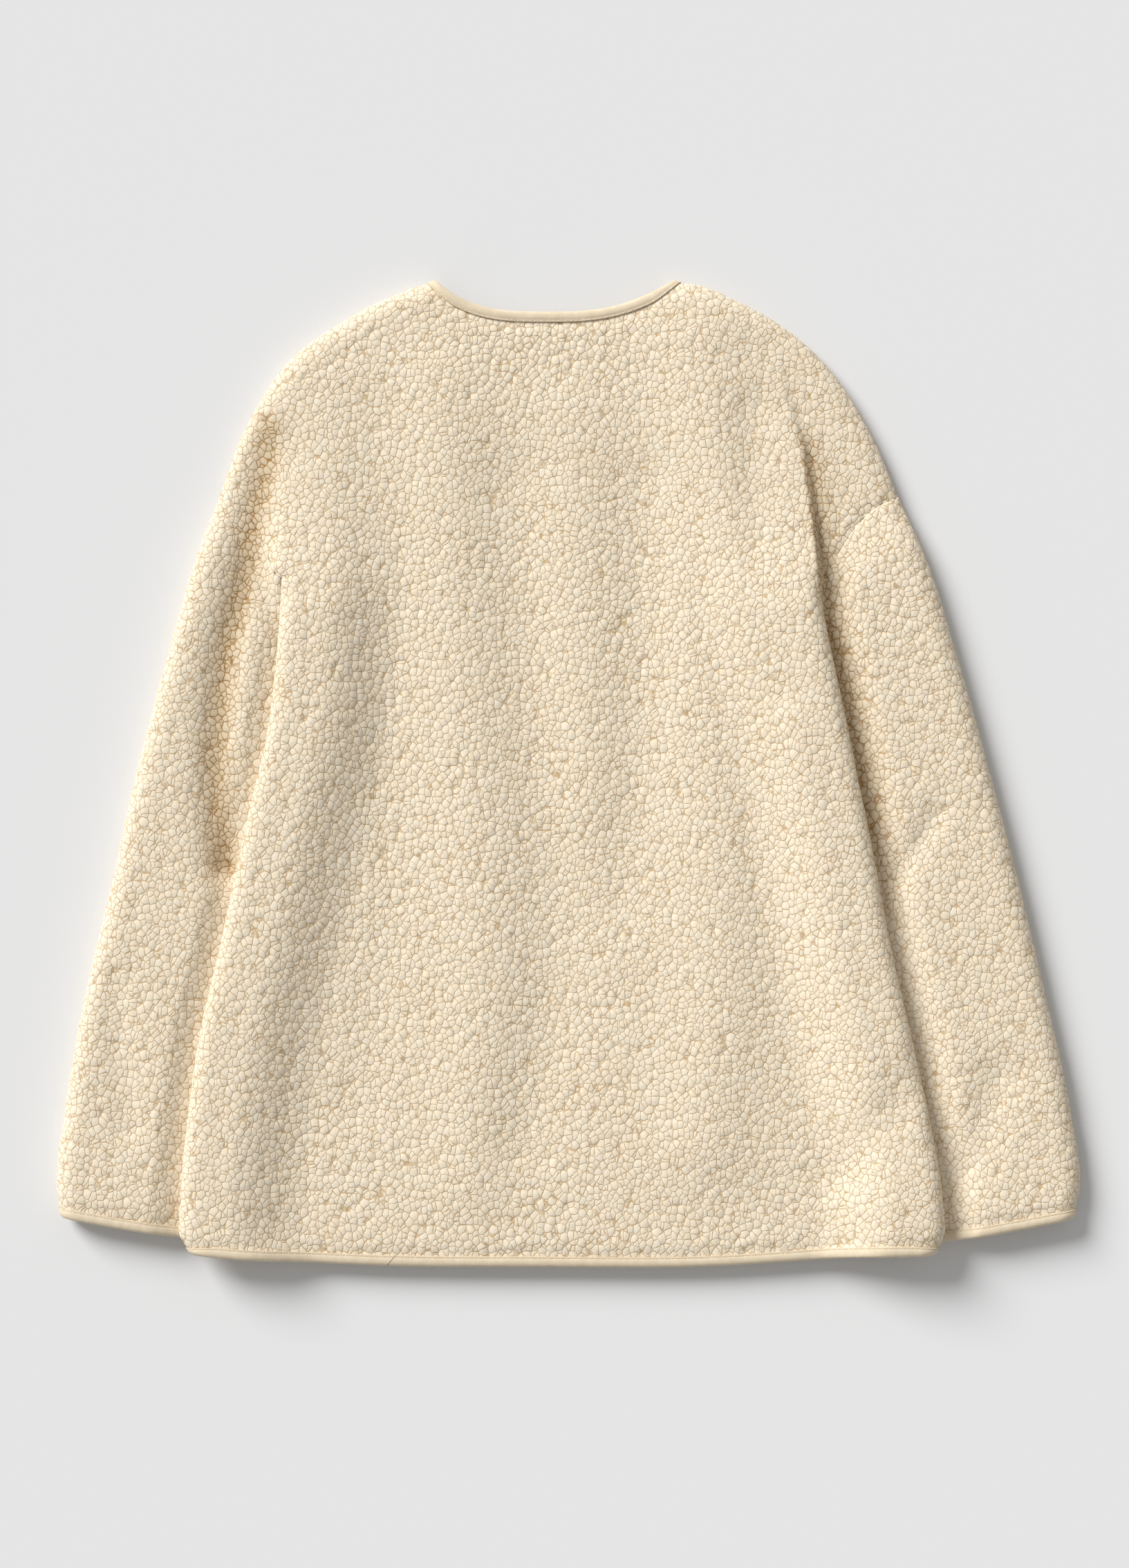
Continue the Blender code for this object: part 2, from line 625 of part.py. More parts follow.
def patch(builder, a, b, c, d):
    """Two faces over four corners that share the edge from a to c."""
    builder.faces.new((a, b, c))
    builder.faces.new((a, c, d))


def piece_from(name, builder):
    """An object from finished mesh data, with its faces turned outward."""
    bmesh.ops.recalc_face_normals(builder, faces=builder.faces)
    mesh = bpy.data.meshes.new(name)
    builder.to_mesh(mesh)
    builder.free()
    return bpy.data.objects.new(name, mesh)


def unit(vectors):
    """Vectors scaled to length one."""
    return vectors / np.linalg.norm(vectors, axis=-1, keepdims=True)


def binding(name, edge_outer, edge_inner, next_outer, next_inner, leans):
    """A folded strip around a closed raw edge, from the points of the edge and of the next row.

    leans says, for each stretch of the edge, whether the faces of the cloth between the two rows
    share an edge that starts on the raw edge, so that the strip's faces lie parallel to them.
    """
    middle, next_middle = (edge_outer + edge_inner) / 2, (next_outer + next_inner) / 2
    normal, next_normal = unit(edge_outer - edge_inner), unit(next_outer - next_inner)
    into = unit(next_middle - middle)
    reach = BINDING_DEPTH / PRESSED_DEPTH
    leg = middle + (next_middle - middle) * reach
    leg_normal = unit(normal + (next_normal - normal) * reach)
    clear = PRESSED_CLOTH / 2 + BINDING_CLEAR
    section = [
        leg + BINDING_HALF * leg_normal,
        middle - BINDING_CLEAR * into + BINDING_HALF * normal,
        middle - BINDING_LIP * into + BINDING_HALF / 2 * normal,
        middle - BINDING_LIP * into - BINDING_HALF / 2 * normal,
        middle - BINDING_CLEAR * into - BINDING_HALF * normal,
        leg - BINDING_HALF * leg_normal,
        leg - clear * leg_normal,
        middle - BINDING_CLEAR * into - clear * normal,
        middle - BINDING_CLEAR * into + clear * normal,
        leg + clear * leg_normal,
    ]
    leg_lines = (0, 6)
    builder = bmesh.new()
    loops = [[builder.verts.new(point) for point in line] for line in section]
    for k, line in enumerate(loops):
        other = loops[(k + 1) % len(loops)]
        for i, lean in enumerate(leans):
            j = (i + 1) % len(leans)
            if lean != (k in leg_lines):
                patch(builder, line[i], line[j], other[j], other[i])
            else:
                patch(builder, line[j], other[j], other[i], line[i])
    return piece_from(name, builder)


def around(back, front):
    """One closed row from the back panel's row and the front panel's, met at the seams."""
    ends = (back[[0, -1]] + front[[0, -1]]) / 2
    return np.concatenate([ends[:1], back[1:-1], ends[1:], front[-2:0:-1]])


def finish(name, colour, roughness):
    """A plain material."""
    material = bpy.data.materials.new(name)
    material.use_nodes = True
    shader = material.node_tree.nodes["Principled BSDF"]
    shader.inputs["Base Color"].default_value = colour
    shader.inputs["Roughness"].default_value = roughness
    shader.inputs["Metallic"].default_value = 0.0
    return material


def add(collection, piece, material):
    """Puts a piece in the collection with its material, shaded smooth."""
    piece.data.materials.append(material)
    piece.data.shade_smooth()
    collection.objects.link(piece)


def main():
    for startup in list(bpy.data.objects):
        bpy.data.objects.remove(startup)
    collection = bpy.data.collections.new("crew_neck_top")
    bpy.context.scene.collection.children.link(collection)
    fleece = finish("fleece", FLEECE_COLOUR, 1.0)
    strip = finish("binding", BINDING_COLOUR, 0.85)
    panels = {"back": panel_faces(False), "front": panel_faces(True)}
    add(collection, wall("back_panel", *panels["back"], closed=False), fleece)
    add(collection, wall("front_panel", *panels["front"], closed=False), fleece)
    edges = {"hem_binding": (0, 1), "neck_binding": (-1, -2)}
    for name, (edge, inward) in edges.items():
        lines = [
            around(panels["back"][face][row], panels["front"][face][row])
            for row in (edge, inward) for face in (0, 1)
        ]
        half = len(lines[0]) // 2
        leans = [(i < half) == (name == "hem_binding") for i in range(2 * half)]
        add(collection, binding(name, *lines, leans), strip)
    for side in OUTWARD:
        rings = sleeve_faces(side)
        add(collection, wall(side + "_sleeve", *rings, closed=True), fleece)
        lines = [rings[face][row] for row in (-1, -2) for face in (0, 1)]
        add(collection, binding(side + "_cuff_binding", *lines, [False] * len(lines[0])), strip)


main()
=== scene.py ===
"""A crew neck top in cream teddy fleece, lying flat on its front with its back up.

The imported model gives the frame: +X is right and +Y is towards the neck as the top is looked down
on, +Z is up, and the top rests on z = 0. Each cloth wall is made again here as a fine closed shell
on the same form, with its pile raised in clumps, and each binding as a soft folded strip with its
stitches. Lengths are in metres.
"""

import logging
import math
from collections.abc import Sequence
from dataclasses import dataclass, field
from enum import Enum
from typing import NamedTuple

import bmesh
import bpy
import numpy as np
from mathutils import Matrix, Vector


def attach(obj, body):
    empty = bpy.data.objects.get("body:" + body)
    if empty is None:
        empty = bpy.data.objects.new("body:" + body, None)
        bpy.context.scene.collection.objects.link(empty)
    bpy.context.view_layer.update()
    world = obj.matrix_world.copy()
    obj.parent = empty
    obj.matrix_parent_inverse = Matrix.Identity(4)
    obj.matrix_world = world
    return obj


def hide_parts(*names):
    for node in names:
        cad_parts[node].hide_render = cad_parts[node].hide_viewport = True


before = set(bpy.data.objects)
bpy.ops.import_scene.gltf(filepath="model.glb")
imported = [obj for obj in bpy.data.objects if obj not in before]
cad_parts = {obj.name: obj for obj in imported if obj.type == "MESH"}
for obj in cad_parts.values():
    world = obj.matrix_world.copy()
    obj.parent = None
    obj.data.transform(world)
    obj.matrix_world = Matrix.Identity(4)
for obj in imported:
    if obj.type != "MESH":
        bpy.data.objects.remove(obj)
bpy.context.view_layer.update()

BODY = "root"
CLOTH_PLACE = "cloth"
PILE_SHARE = "pile"
# Painted shade and painted shadow, stored at each point of the fleece for its colour.
FOLD_SHADE = "fold_shade"
STRIP_PLACE = "strip"
ON_LINE = 1e-5

log = logging.getLogger("crew_neck_top")

Points = np.ndarray
Colour = tuple[float, float, float, float]


class Side(Enum):
    """The wearer's left or right, as the sign of X towards it."""

    LEFT = -1.0
    RIGHT = 1.0

    @property
    def word(self) -> str:
        """The side as a plain word."""
        return self.name.lower()

    def of(self, both: "Span | Pair") -> float | tuple[float, float]:
        """The value or the place on this side."""
        return getattr(both, self.word)

    def spots(self, spans: "Sequence[Span]") -> list[tuple[float, float]]:
        """The plan points of a line on this side."""
        return [(self.of(span), span.y) for span in spans]


class Face(Enum):
    """The panel that lies up or the one that lies on the surface, as the sign of Z out of it."""

    BACK = 1.0
    FRONT = -1.0


class Span(NamedTuple):
    """Two values at one Y, one for each side."""

    y: float
    left: float
    right: float


class Pair(NamedTuple):
    """A place on the left and its fellow on the right."""

    left: tuple[float, float]
    right: tuple[float, float]


class Bulge(NamedTuple):
    """How far a line bows out at a share of its length."""

    along: float
    out: float


class Fold(NamedTuple):
    """A soft ridge, or a trough where its height is negative, along a path."""

    height: float
    half_width: float
    path: tuple[tuple[float, float], ...]


def smooth(x: Points) -> Points:
    """Eases from 0 at x = 0 to 1 at x = 1.

    Args:
        x: Where to take the step.

    Returns:
        The eased values.
    """
    x = np.clip(x, 0.0, 1.0)
    return x * x * (3.0 - 2.0 * x)


def unit(vectors: Points) -> Points:
    """Scales vectors to length one."""
    return vectors / np.maximum(np.linalg.norm(vectors, axis=-1, keepdims=True), 1e-12)


def lengths_along(points: Points) -> Points:
    """Distance travelled to each point of a polyline."""
    steps = np.linalg.norm(np.diff(points, axis=0), axis=1)
    return np.concatenate([[0.0], np.cumsum(steps)])


def curve_through(points: Sequence, pieces: int = 160) -> Points:
    """Lays a smooth curve through points.

    Args:
        points: The places that the curve goes through.
        pieces: How many straight pieces stand for it.

    Returns:
        The curve as a fine polyline.
    """
    points = np.asarray(points, float)
    knots = lengths_along(points)
    slopes = np.gradient(points, knots, axis=0)
    u = np.linspace(0.0, knots[-1], pieces + 1)
    k = np.clip(np.searchsorted(knots, u, side="right") - 1, 0, len(knots) - 2)
    step = (knots[k + 1] - knots[k])[:, None]
    s = (u - knots[k])[:, None] / step
    start = points[k] * (1 + 2 * s) * (1 - s) ** 2 + slopes[k] * step * s * (1 - s) ** 2
    end = points[k + 1] * s * s * (3 - 2 * s) + slopes[k + 1] * step * s * s * (s - 1)
    return start + end


def place(curve: Points, shares: Points) -> Points:
    """Finds points at the given shares of a curve's length.

    Args:
        curve: The polyline.
        shares: Shares of its length.

    Returns:
        The points.
    """
    travelled = lengths_along(curve)
    at = np.asarray(shares, float) * travelled[-1]
    return np.stack([np.interp(at, travelled, column) for column in curve.T], axis=1)


def nearest(xy: Points, line: Points, batch: int = 8192) -> tuple[Points, Points]:
    """Measures from points to a polyline.

    Args:
        xy: The points in plan.
        line: The polyline.
        batch: How many points are measured at a time.

    Returns:
        The distance of each point, and the unit vector from the line to the point.
    """
    distances, directions = [], []
    start, along = line[:-1], line[1:] - line[:-1]
    for first in range(0, len(xy), batch):
        to_point = xy[first:first + batch, None, :] - start[None]
        share = (to_point * along).sum(2) / (along * along).sum(1)
        gap = to_point - np.clip(share, 0.0, 1.0)[..., None] * along
        distance = np.linalg.norm(gap, axis=2)
        k = distance.argmin(axis=1)
        rows = np.arange(len(k))
        distances.append(distance[rows, k])
        directions.append(gap[rows, k])
    shortest = np.concatenate(distances)
    return shortest, np.concatenate(directions) / np.maximum(shortest, 1e-9)[:, None]


def across_towards(xy: Points, line: Points, target: Points) -> Points:
    """Unit directions square to a polyline at points of it, on the side of the target.

    Args:
        xy: The points.
        line: The polyline.
        target: Where the directions lead towards.

    Returns:
        One direction for each point.
    """
    middles = (line[1:] + line[:-1]) / 2
    k = np.linalg.norm(xy[:, None] - middles[None], axis=2).argmin(axis=1)
    along = unit(line[k + 1] - line[k])
    across = np.stack([-along[:, 1], along[:, 0]], axis=1)
    return across * np.sign(((target - xy) * across).sum(axis=1))[:, None]


def patch_between(
    bottom: Points, top: Points, left: Points, right: Points, q: Points, t: Points
) -> Points:
    """Fills the surface patch between four plan curves.

    Args:
        bottom: The first row.
        top: The last row.
        left: Where each row starts.
        right: Where each row ends.
        q: Shares across.
        t: Shares from bottom to top.

    Returns:
        Plan points as rows of columns.
    """
    q = q[None, :, None]
    t = t[:, None, None]
    ruled = (1 - t) * bottom[None] + t * top[None] + (1 - q) * left[:, None] + q * right[:, None]
    corners = (1 - q) * ((1 - t) * bottom[0] + t * top[0]) + q * ((1 - t) * bottom[-1] + t * top[-1])
    return ruled - corners


def folds_at(xy: Points, folds: Sequence[Fold], pieces: int = 40) -> Points:
    """Adds up the height of soft folds at each point.

    Args:
        xy: The points in plan.
        folds: The folds.
        pieces: How many straight pieces stand for each path.

    Returns:
        The heights.
    """
    total = np.zeros(len(xy))
    for fold in folds:
        distance = nearest(xy, curve_through(fold.path, pieces))[0]
        total += fold.height * np.exp(-((distance / fold.half_width) ** 2))
    return total


def rolled(xy: Points, seams: Sequence[tuple[Points, float]]) -> tuple[Points, Points]:
    """Rolls a wall over where its two layers meet.

    Args:
        xy: The points in plan.
        seams: Each line where the layers meet, with the plan width of the roll.

    Returns:
        The share of full height at each point, and the plan shift from the outer to the inner
        face for a wall one unit thick.
    """
    share = np.ones(len(xy))
    shift = np.zeros_like(xy)
    for line, width in seams:
        distance, away = nearest(xy, line)
        s = np.clip(distance / width, 0.0, 1.0)
        share *= np.sqrt(1.0 - (1.0 - s) ** 2)
        shift += (1.0 - s)[:, None] * away
    return share, shift


@dataclass(frozen=True)
class Cloth:
    """The fleece as a wall: its thickness, and how it is pressed inside a binding."""

    thick: float = 0.0045
    pressed: float = 0.0024
    pressed_depth: float = 0.0064
    full_depth: float = 0.0150
    pile_starts: float = 0.0058
    pile_rise: float = 0.0030
    raised_in_binding: float = 0.0004
    side_roll: float = 0.0120
    ridge_roll: float = 0.0140
    seam_gap: float = 0.00015
    least_hollow: float = 0.0015
    seam_dips: tuple[float, float] = (0.0, 0.0008)
    seam_dip_width: float = 0.0036
    edge_steps: int = 8

    def _rise(self, depth: Points) -> Points:
        """Share of full thickness at a depth from a bound edge."""
        return smooth((depth - self.pressed_depth) / (self.full_depth - self.pressed_depth))

    def thickness(self, depth: Points) -> Points:
        """Thickness at a depth from a bound edge."""
        return self.pressed + (self.thick - self.pressed) * self._rise(depth)

    def raised(self, depth: Points) -> Points:
        """How far cloth next to the surface is raised so that its binding clears it."""
        return self.raised_in_binding * (1.0 - self._rise(depth))

    def depths(self) -> Points:
        """Depths of the rows from a bound edge to full cloth."""
        return np.linspace(0.0, self.full_depth, self.edge_steps + 1)

    def pile(self, depth: Points) -> Points:
        """Share of full pile at a depth from a bound edge."""
        return smooth((depth - self.pile_starts) / self.pile_rise)

    def dip(self, xy: Points, seam: Points, side: Side) -> Points:
        """How far a sewn seam pulls the outer face in."""
        deepest = self.seam_dips[side is Side.RIGHT]
        return deepest * np.exp(-((nearest(xy, seam)[0] / self.seam_dip_width) ** 2))

    def roll_steps(self, width: float) -> Points:
        """Shares of a width where columns lie on a roll at even angles."""
        angles = np.linspace(0.0, math.pi / 2, self.edge_steps + 1)
        return self.side_roll / width * (1.0 - np.cos(angles))

    def columns(self, count: int, width: float) -> Points:
        """Shares across a piece, even in its middle and close together on its two rolls.

        Args:
            count: How many steps there are in all.
            width: The width that the rolls are measured against.

        Returns:
            Shares from 0 to 1.
        """
        edge = self.roll_steps(width)
        middle = np.linspace(edge[-1], 1.0 - edge[-1], count - 2 * self.edge_steps + 1)[1:-1]
        return np.concatenate([edge, middle, 1.0 - edge[::-1]])


@dataclass
class BodyForm:
    """Outline and heights of the body, seen from above."""

    cloth: Cloth = Cloth()
    underarm: Pair = Pair((-0.2030, 0.1380), (0.1765, 0.1380))
    shoulder_point: Pair = Pair((-0.2477, 0.1980), (0.2340, 0.1962))
    neck_point: Pair = Pair((-0.0945, 0.3492), (0.0735, 0.3492))
    side_spans: tuple[Span, ...] = (
        Span(-0.3395, -0.2659, 0.2580),
        Span(-0.3300, -0.2735, 0.2640),
        Span(-0.3000, -0.2745, 0.2640),
        Span(-0.2500, -0.2702, 0.2560),
        Span(-0.1900, -0.2619, 0.2430),
        Span(-0.1200, -0.2462, 0.2270),
        Span(-0.0400, -0.2291, 0.2120),
        Span(0.0400, -0.2114, 0.1955),
        Span(0.1150, -0.2043, 0.1801),
    )
    fold_spans: tuple[Span, ...] = (
        Span(0.1780, -0.2015, 0.1717),
        Span(0.2290, -0.1990, 0.1650),
        Span(0.2490, -0.1980, 0.1580),
        Span(0.2900, -0.1950, 0.1470),
    )
    step_widths: tuple[float, float] = (0.0230, 0.0060)
    armhole_bulges: tuple[Bulge, ...] = (
        Bulge(0.05, 0.0016),
        Bulge(0.16, 0.0003),
        Bulge(0.31, -0.0028),
        Bulge(0.45, -0.0055),
        Bulge(0.65, -0.0072),
        Bulge(0.82, -0.0057),
    )
    shoulder_spans: tuple[Span, ...] = (
        Span(0.2345, -0.2345, 0.2178),
        Span(0.2737, -0.2134, 0.1953),
        Span(0.2933, -0.1982, 0.1796),
        Span(0.3207, -0.1610, 0.1468),
        Span(0.3364, -0.1316, 0.1174),
        Span(0.3455, -0.1085, 0.0965),
    )
    hem_points: tuple[tuple[float, float], ...] = (
        (-0.2080, -0.3441),
        (-0.1400, -0.3476),
        (-0.0200, -0.3488),
        (0.1000, -0.3483),
        (0.1650, -0.3443),
        (0.2050, -0.3408),
    )
    front_hem_drop: float = 0.0020
    front_hem_drop_at: float = 0.2380
    front_hem_drop_width: float = 0.0240
    neck_middle_x: float = -0.0113
    neck_half_width: float = 0.0840
    back_neck_y: float = 0.3262
    front_neck_y: float = 0.2640
    back_neck_powers: tuple[float, float] = (3.5, 2.6)
    front_neck_power: float = 2.2
    height: float = 0.0145
    armhole_height: float = 0.0150
    armhole_rise_width: float = 0.0480
    humps: tuple[float, float] = (0.0134, 0.0160)
    hump_inset: float = 0.0320
    hump_end: float = 0.0900
    hump_shares: tuple[Bulge, ...] = (
        Bulge(-0.40, 1.00),
        Bulge(-0.02, 1.00),
        Bulge(0.00, 0.85),
        Bulge(0.03, 0.55),
        Bulge(0.06, 0.37),
        Bulge(0.11, 0.18),
        Bulge(0.162, 0.00),
    )
    lift: float = 0.0139
    lift_inset: float = 0.0440
    lift_end: float = 0.0800
    lift_starts: float = 0.0050
    lift_full: float = 0.0450
    hollow_softness: float = 0.001
    crotch_rise: float = 0.90
    crotch_reach: float = 0.0160
    # Where shade is painted into the pile along the left trough: a strength rather than a height, its
    # half width and its path.
    trough: Fold = Fold(0.90, 0.0105, ((-0.2109, 0.2443), (-0.2188, 0.2051), (-0.2305, 0.1365),
                                       (-0.2413, 0.0875), (-0.2487, 0.0287), (-0.2487, -0.0150),
                                       (-0.2452, -0.0640)))
    # Shadow painted beside the right edge's step, where the body's edge stands over the cloth beyond it:
    # its strength, width, how it rises at the edge, and the Y where it fades in and out.
    step_shade: float = 1.0
    step_shade_width: float = 0.0150
    step_shade_rise: float = 0.004
    step_shade_ends: tuple[float, float, float, float] = (-0.130, -0.020, 0.225, 0.255)
    folds: tuple[Fold, ...] = (
        Fold(-0.0015, 0.022, ((-0.1433, 0.254), (-0.1433, 0.117), (-0.1237, -0.0105), (-0.1335, -0.128),
                              (-0.148, -0.236))),
        Fold(0.0030, 0.030, ((-0.0894, 0.274), (-0.0796, 0.117), (-0.0674, -0.006), (-0.060, -0.128),
                             (-0.070, -0.285))),
        Fold(-0.0025, 0.026, ((-0.040, 0.205), (-0.026, 0.058), (-0.011, -0.138), (-0.031, -0.260))),
        Fold(0.0018, 0.028, ((0.004, 0.254), (0.006, 0.107), (0.0135, -0.015))),
        Fold(-0.0020, 0.022, ((0.053, 0.205), (0.050, 0.058), (0.038, -0.089))),
        Fold(0.0045, 0.034, ((0.092, 0.303), (0.099, 0.156), (0.104, 0.009), (0.107, -0.138),
                             (0.097, -0.260))),
        Fold(-0.0025, 0.016, ((0.129, 0.254), (0.136, 0.132), (0.151, 0.058))),
        Fold(-0.0025, 0.018, ((0.254, -0.2065), (0.190, -0.285))),
        Fold(0.0015, 0.026, ((0.212, -0.307), (0.256, -0.307))),
        Fold(-0.0030, 0.020, ((-0.2095, 0.228), (-0.2149, 0.206), (-0.2227, 0.169))),
    )
    seams: dict[Side, Points] = field(init=False)
    edges: dict[Side, Points] = field(init=False)
    armholes: dict[Side, Points] = field(init=False)
    shoulders: dict[Side, Points] = field(init=False)
    ridge: Points = field(init=False)

    def __post_init__(self) -> None:
        """Works out the plan lines of both sides."""
        self.seams = {side: self._seam(side) for side in Side}
        self.edges = {side: self._edge(side) for side in Side}
        self.armholes = {side: self._armhole(side) for side in Side}
        self.shoulders = {side: self._shoulder(side) for side in Side}
        self.ridge = np.concatenate([self.shoulders[Side.LEFT], self.shoulders[Side.RIGHT][::-1]])

    def _seam(self, side: Side) -> Points:
        """The side seam from the hem to the underarm."""
        return curve_through([*side.spots(self.side_spans), side.of(self.underarm)])

    def _edge(self, side: Side) -> Points:
        """The side edge with the soft step that carries it on above the underarm."""
        return np.concatenate([self._seam(side), np.array(side.spots(self.fold_spans))])

    def _armhole(self, side: Side) -> Points:
        """The armhole seam from the underarm to the shoulder point.

        Args:
            side: Which side's.

        Returns:
            The line in plan.
        """
        start = np.array(side.of(self.underarm))
        end = np.array(side.of(self.shoulder_point))
        chord = end - start
        across = np.array([chord[1], -chord[0]]) / np.linalg.norm(chord) * side.value
        bowed = [start + chord * row.along + across * row.out for row in self.armhole_bulges]
        return curve_through([start, *bowed, end], 80)

    def _shoulder(self, side: Side) -> Points:
        """The shoulder seam from the shoulder point to the neck point."""
        spots = side.spots(self.shoulder_spans)
        return curve_through([side.of(self.shoulder_point), *spots, side.of(self.neck_point)])

    def neckline(self, face: Face) -> Points:
        """The raw neck edge from the left neck point to the right one.

        Args:
            face: Which panel's neckline.

        Returns:
            The line in plan.
        """
        (left_x, end_y), (right_x, _) = self.neck_point
        x = np.linspace(left_x, right_x, 161)
        u = (x - self.neck_middle_x) / self.neck_half_width
        powers = self.back_neck_powers if face is Face.BACK else (self.front_neck_power,) * 2
        middle_y = self.back_neck_y if face is Face.BACK else self.front_neck_y
        rise = np.abs(u) ** np.where(u < 0, *powers)
        rise = rise / np.where(u < 0, rise[0], rise[-1])
        return np.stack([x, middle_y + (end_y - middle_y) * rise], axis=1)

    def hem(self, face: Face) -> Points:
        """The raw hem edge from the left side seam to the right one.

        Args:
            face: Which panel's hem.

        Returns:
            The line in plan.
        """
        ends = self.side_spans[0]
        line = curve_through([(ends.left, ends.y), *self.hem_points, (ends.right, ends.y)])
        if face is Face.FRONT:
            away = (line[:, 0] - self.front_hem_drop_at) / self.front_hem_drop_width
            line[:, 1] -= self.front_hem_drop * smooth(1.0 - np.abs(away))
        return line

    def inset(self, xy: Points, side: Side) -> Points:
        """How far points lie inside one side edge, negative beyond it."""
        edge = self.edges[side]
        return (np.interp(xy[:, 1], edge[:, 1], edge[:, 0]) - xy[:, 0]) * side.value

    def heights(self, xy: Points) -> tuple[Points, Points]:
        """Mid-cloth heights of the back and the front.

        Args:
            xy: The points in plan.

        Returns:
            Heights of the back, and heights of the front.
        """
        above = xy[:, 1] - self.underarm.left[1]
        insets = np.stack([self.inset(xy, side) for side in Side])
        widths = np.array(self.step_widths)[:, None]
        inside = smooth((self.hump_end - insets) / (self.hump_end - self.hump_inset))
        outside = smooth(1.0 + np.minimum(insets, 0.0) / widths)
        share = np.interp(above, *zip(*self.hump_shares))
        hump = (np.array(self.humps)[:, None] * share * inside * outside).sum(axis=0)
        beyond = smooth(-insets.min(axis=0) / self.armhole_rise_width)
        ramp = smooth((-self.lift_starts - above) / (self.lift_full - self.lift_starts))
        lift = self.lift * ramp
        lift *= smooth((self.lift_end - insets.min(axis=0)) / (self.lift_end - self.lift_inset))
        top = self.height + (self.armhole_height - self.height) * beyond + hump
        front = lift + self.cloth.thick / 2
        back = top + folds_at(xy, self.folds) - self.cloth.thick / 2
        lowest = front + self.cloth.thick + self.cloth.least_hollow
        back = (back + lowest + np.sqrt((back - lowest) ** 2 + self.hollow_softness**2)) / 2
        return back, front

    def crotch(self, xy: Points, reach: float | None = None) -> Points:
        """How far layers meet up under the top one near an underarm, where the pieces are joined.

        Args:
            xy: The points in plan.
            reach: How far from the underarm that holds, or nothing for the body's own.

        Returns:
            Shares from 0, half way up, towards 1, at the top.
        """
        rise = np.zeros(len(xy))
        for side in Side:
            away = np.linalg.norm(xy - np.array(side.of(self.underarm)), axis=1)
            rise += self.crotch_rise * np.exp(-((away / (reach or self.crotch_reach)) ** 2))
        return rise

    def shade(self, xy: Points) -> Points:
        """Painted shade in the left trough, and painted shadow beside the right edge's step.

        Args:
            xy: The points in plan.

        Returns:
            Strength of the painted shade, 0 where none is painted.
        """
        beyond = -self.inset(xy, Side.RIGHT)
        low, full, tail, high = self.step_shade_ends
        run = smooth((xy[:, 1] - low) / (full - low)) * smooth((high - xy[:, 1]) / (high - tail))
        step = np.exp(-((beyond / self.step_shade_width) ** 2))
        step *= smooth(beyond / self.step_shade_rise + 0.5)
        return folds_at(xy, (self.trough,)) + self.step_shade * run * step

    def pinned(self, xy: Points, shift: Points) -> Points:
        """Gives points that lie on a seam itself the direction into the cloth.

        Args:
            xy: The points in plan.
            shift: The plan shift of each, which is changed in place.

        Returns:
            The plan shift.
        """
        middle = np.array([self.neck_middle_x, 0.0])
        for side in Side:
            for line in (self.seams[side], self.shoulders[side]):
                on = nearest(xy, line)[0] < ON_LINE
                shift[on] = across_towards(xy[on], line, middle)
        return shift


def inset_row(edge: Points, depth: float, seams: tuple[Points, Points], fade: float = 0.030) -> Points:
    """Lays a row along an edge at a depth, with its ends on the seams that leave the edge.

    Args:
        edge: The edge in plan, with the cloth on its left.
        depth: How far in the row lies.
        seams: The lines that its first and its last point stay on.
        fade: The length over which the ends are eased onto the seams.

    Returns:
        The row.
    """
    along = unit(np.gradient(edge, axis=0))
    row = edge + depth * np.stack([-along[:, 1], along[:, 0]], axis=1)
    travelled = lengths_along(edge)
    for seam, end, away in ((seams[0], 0, travelled), (seams[1], -1, travelled[-1] - travelled)):
        target = place(seam, [depth / lengths_along(seam)[-1]])[0]
        row = row + (target - row[end]) * smooth(1.0 - away / fade)[:, None]
    return row


class Rim(NamedTuple):
    """The raw edge of a cloth wall and the row where its binding ends, as 3D lines."""

    edge_outer: Points
    edge_inner: Points
    next_outer: Points
    next_inner: Points


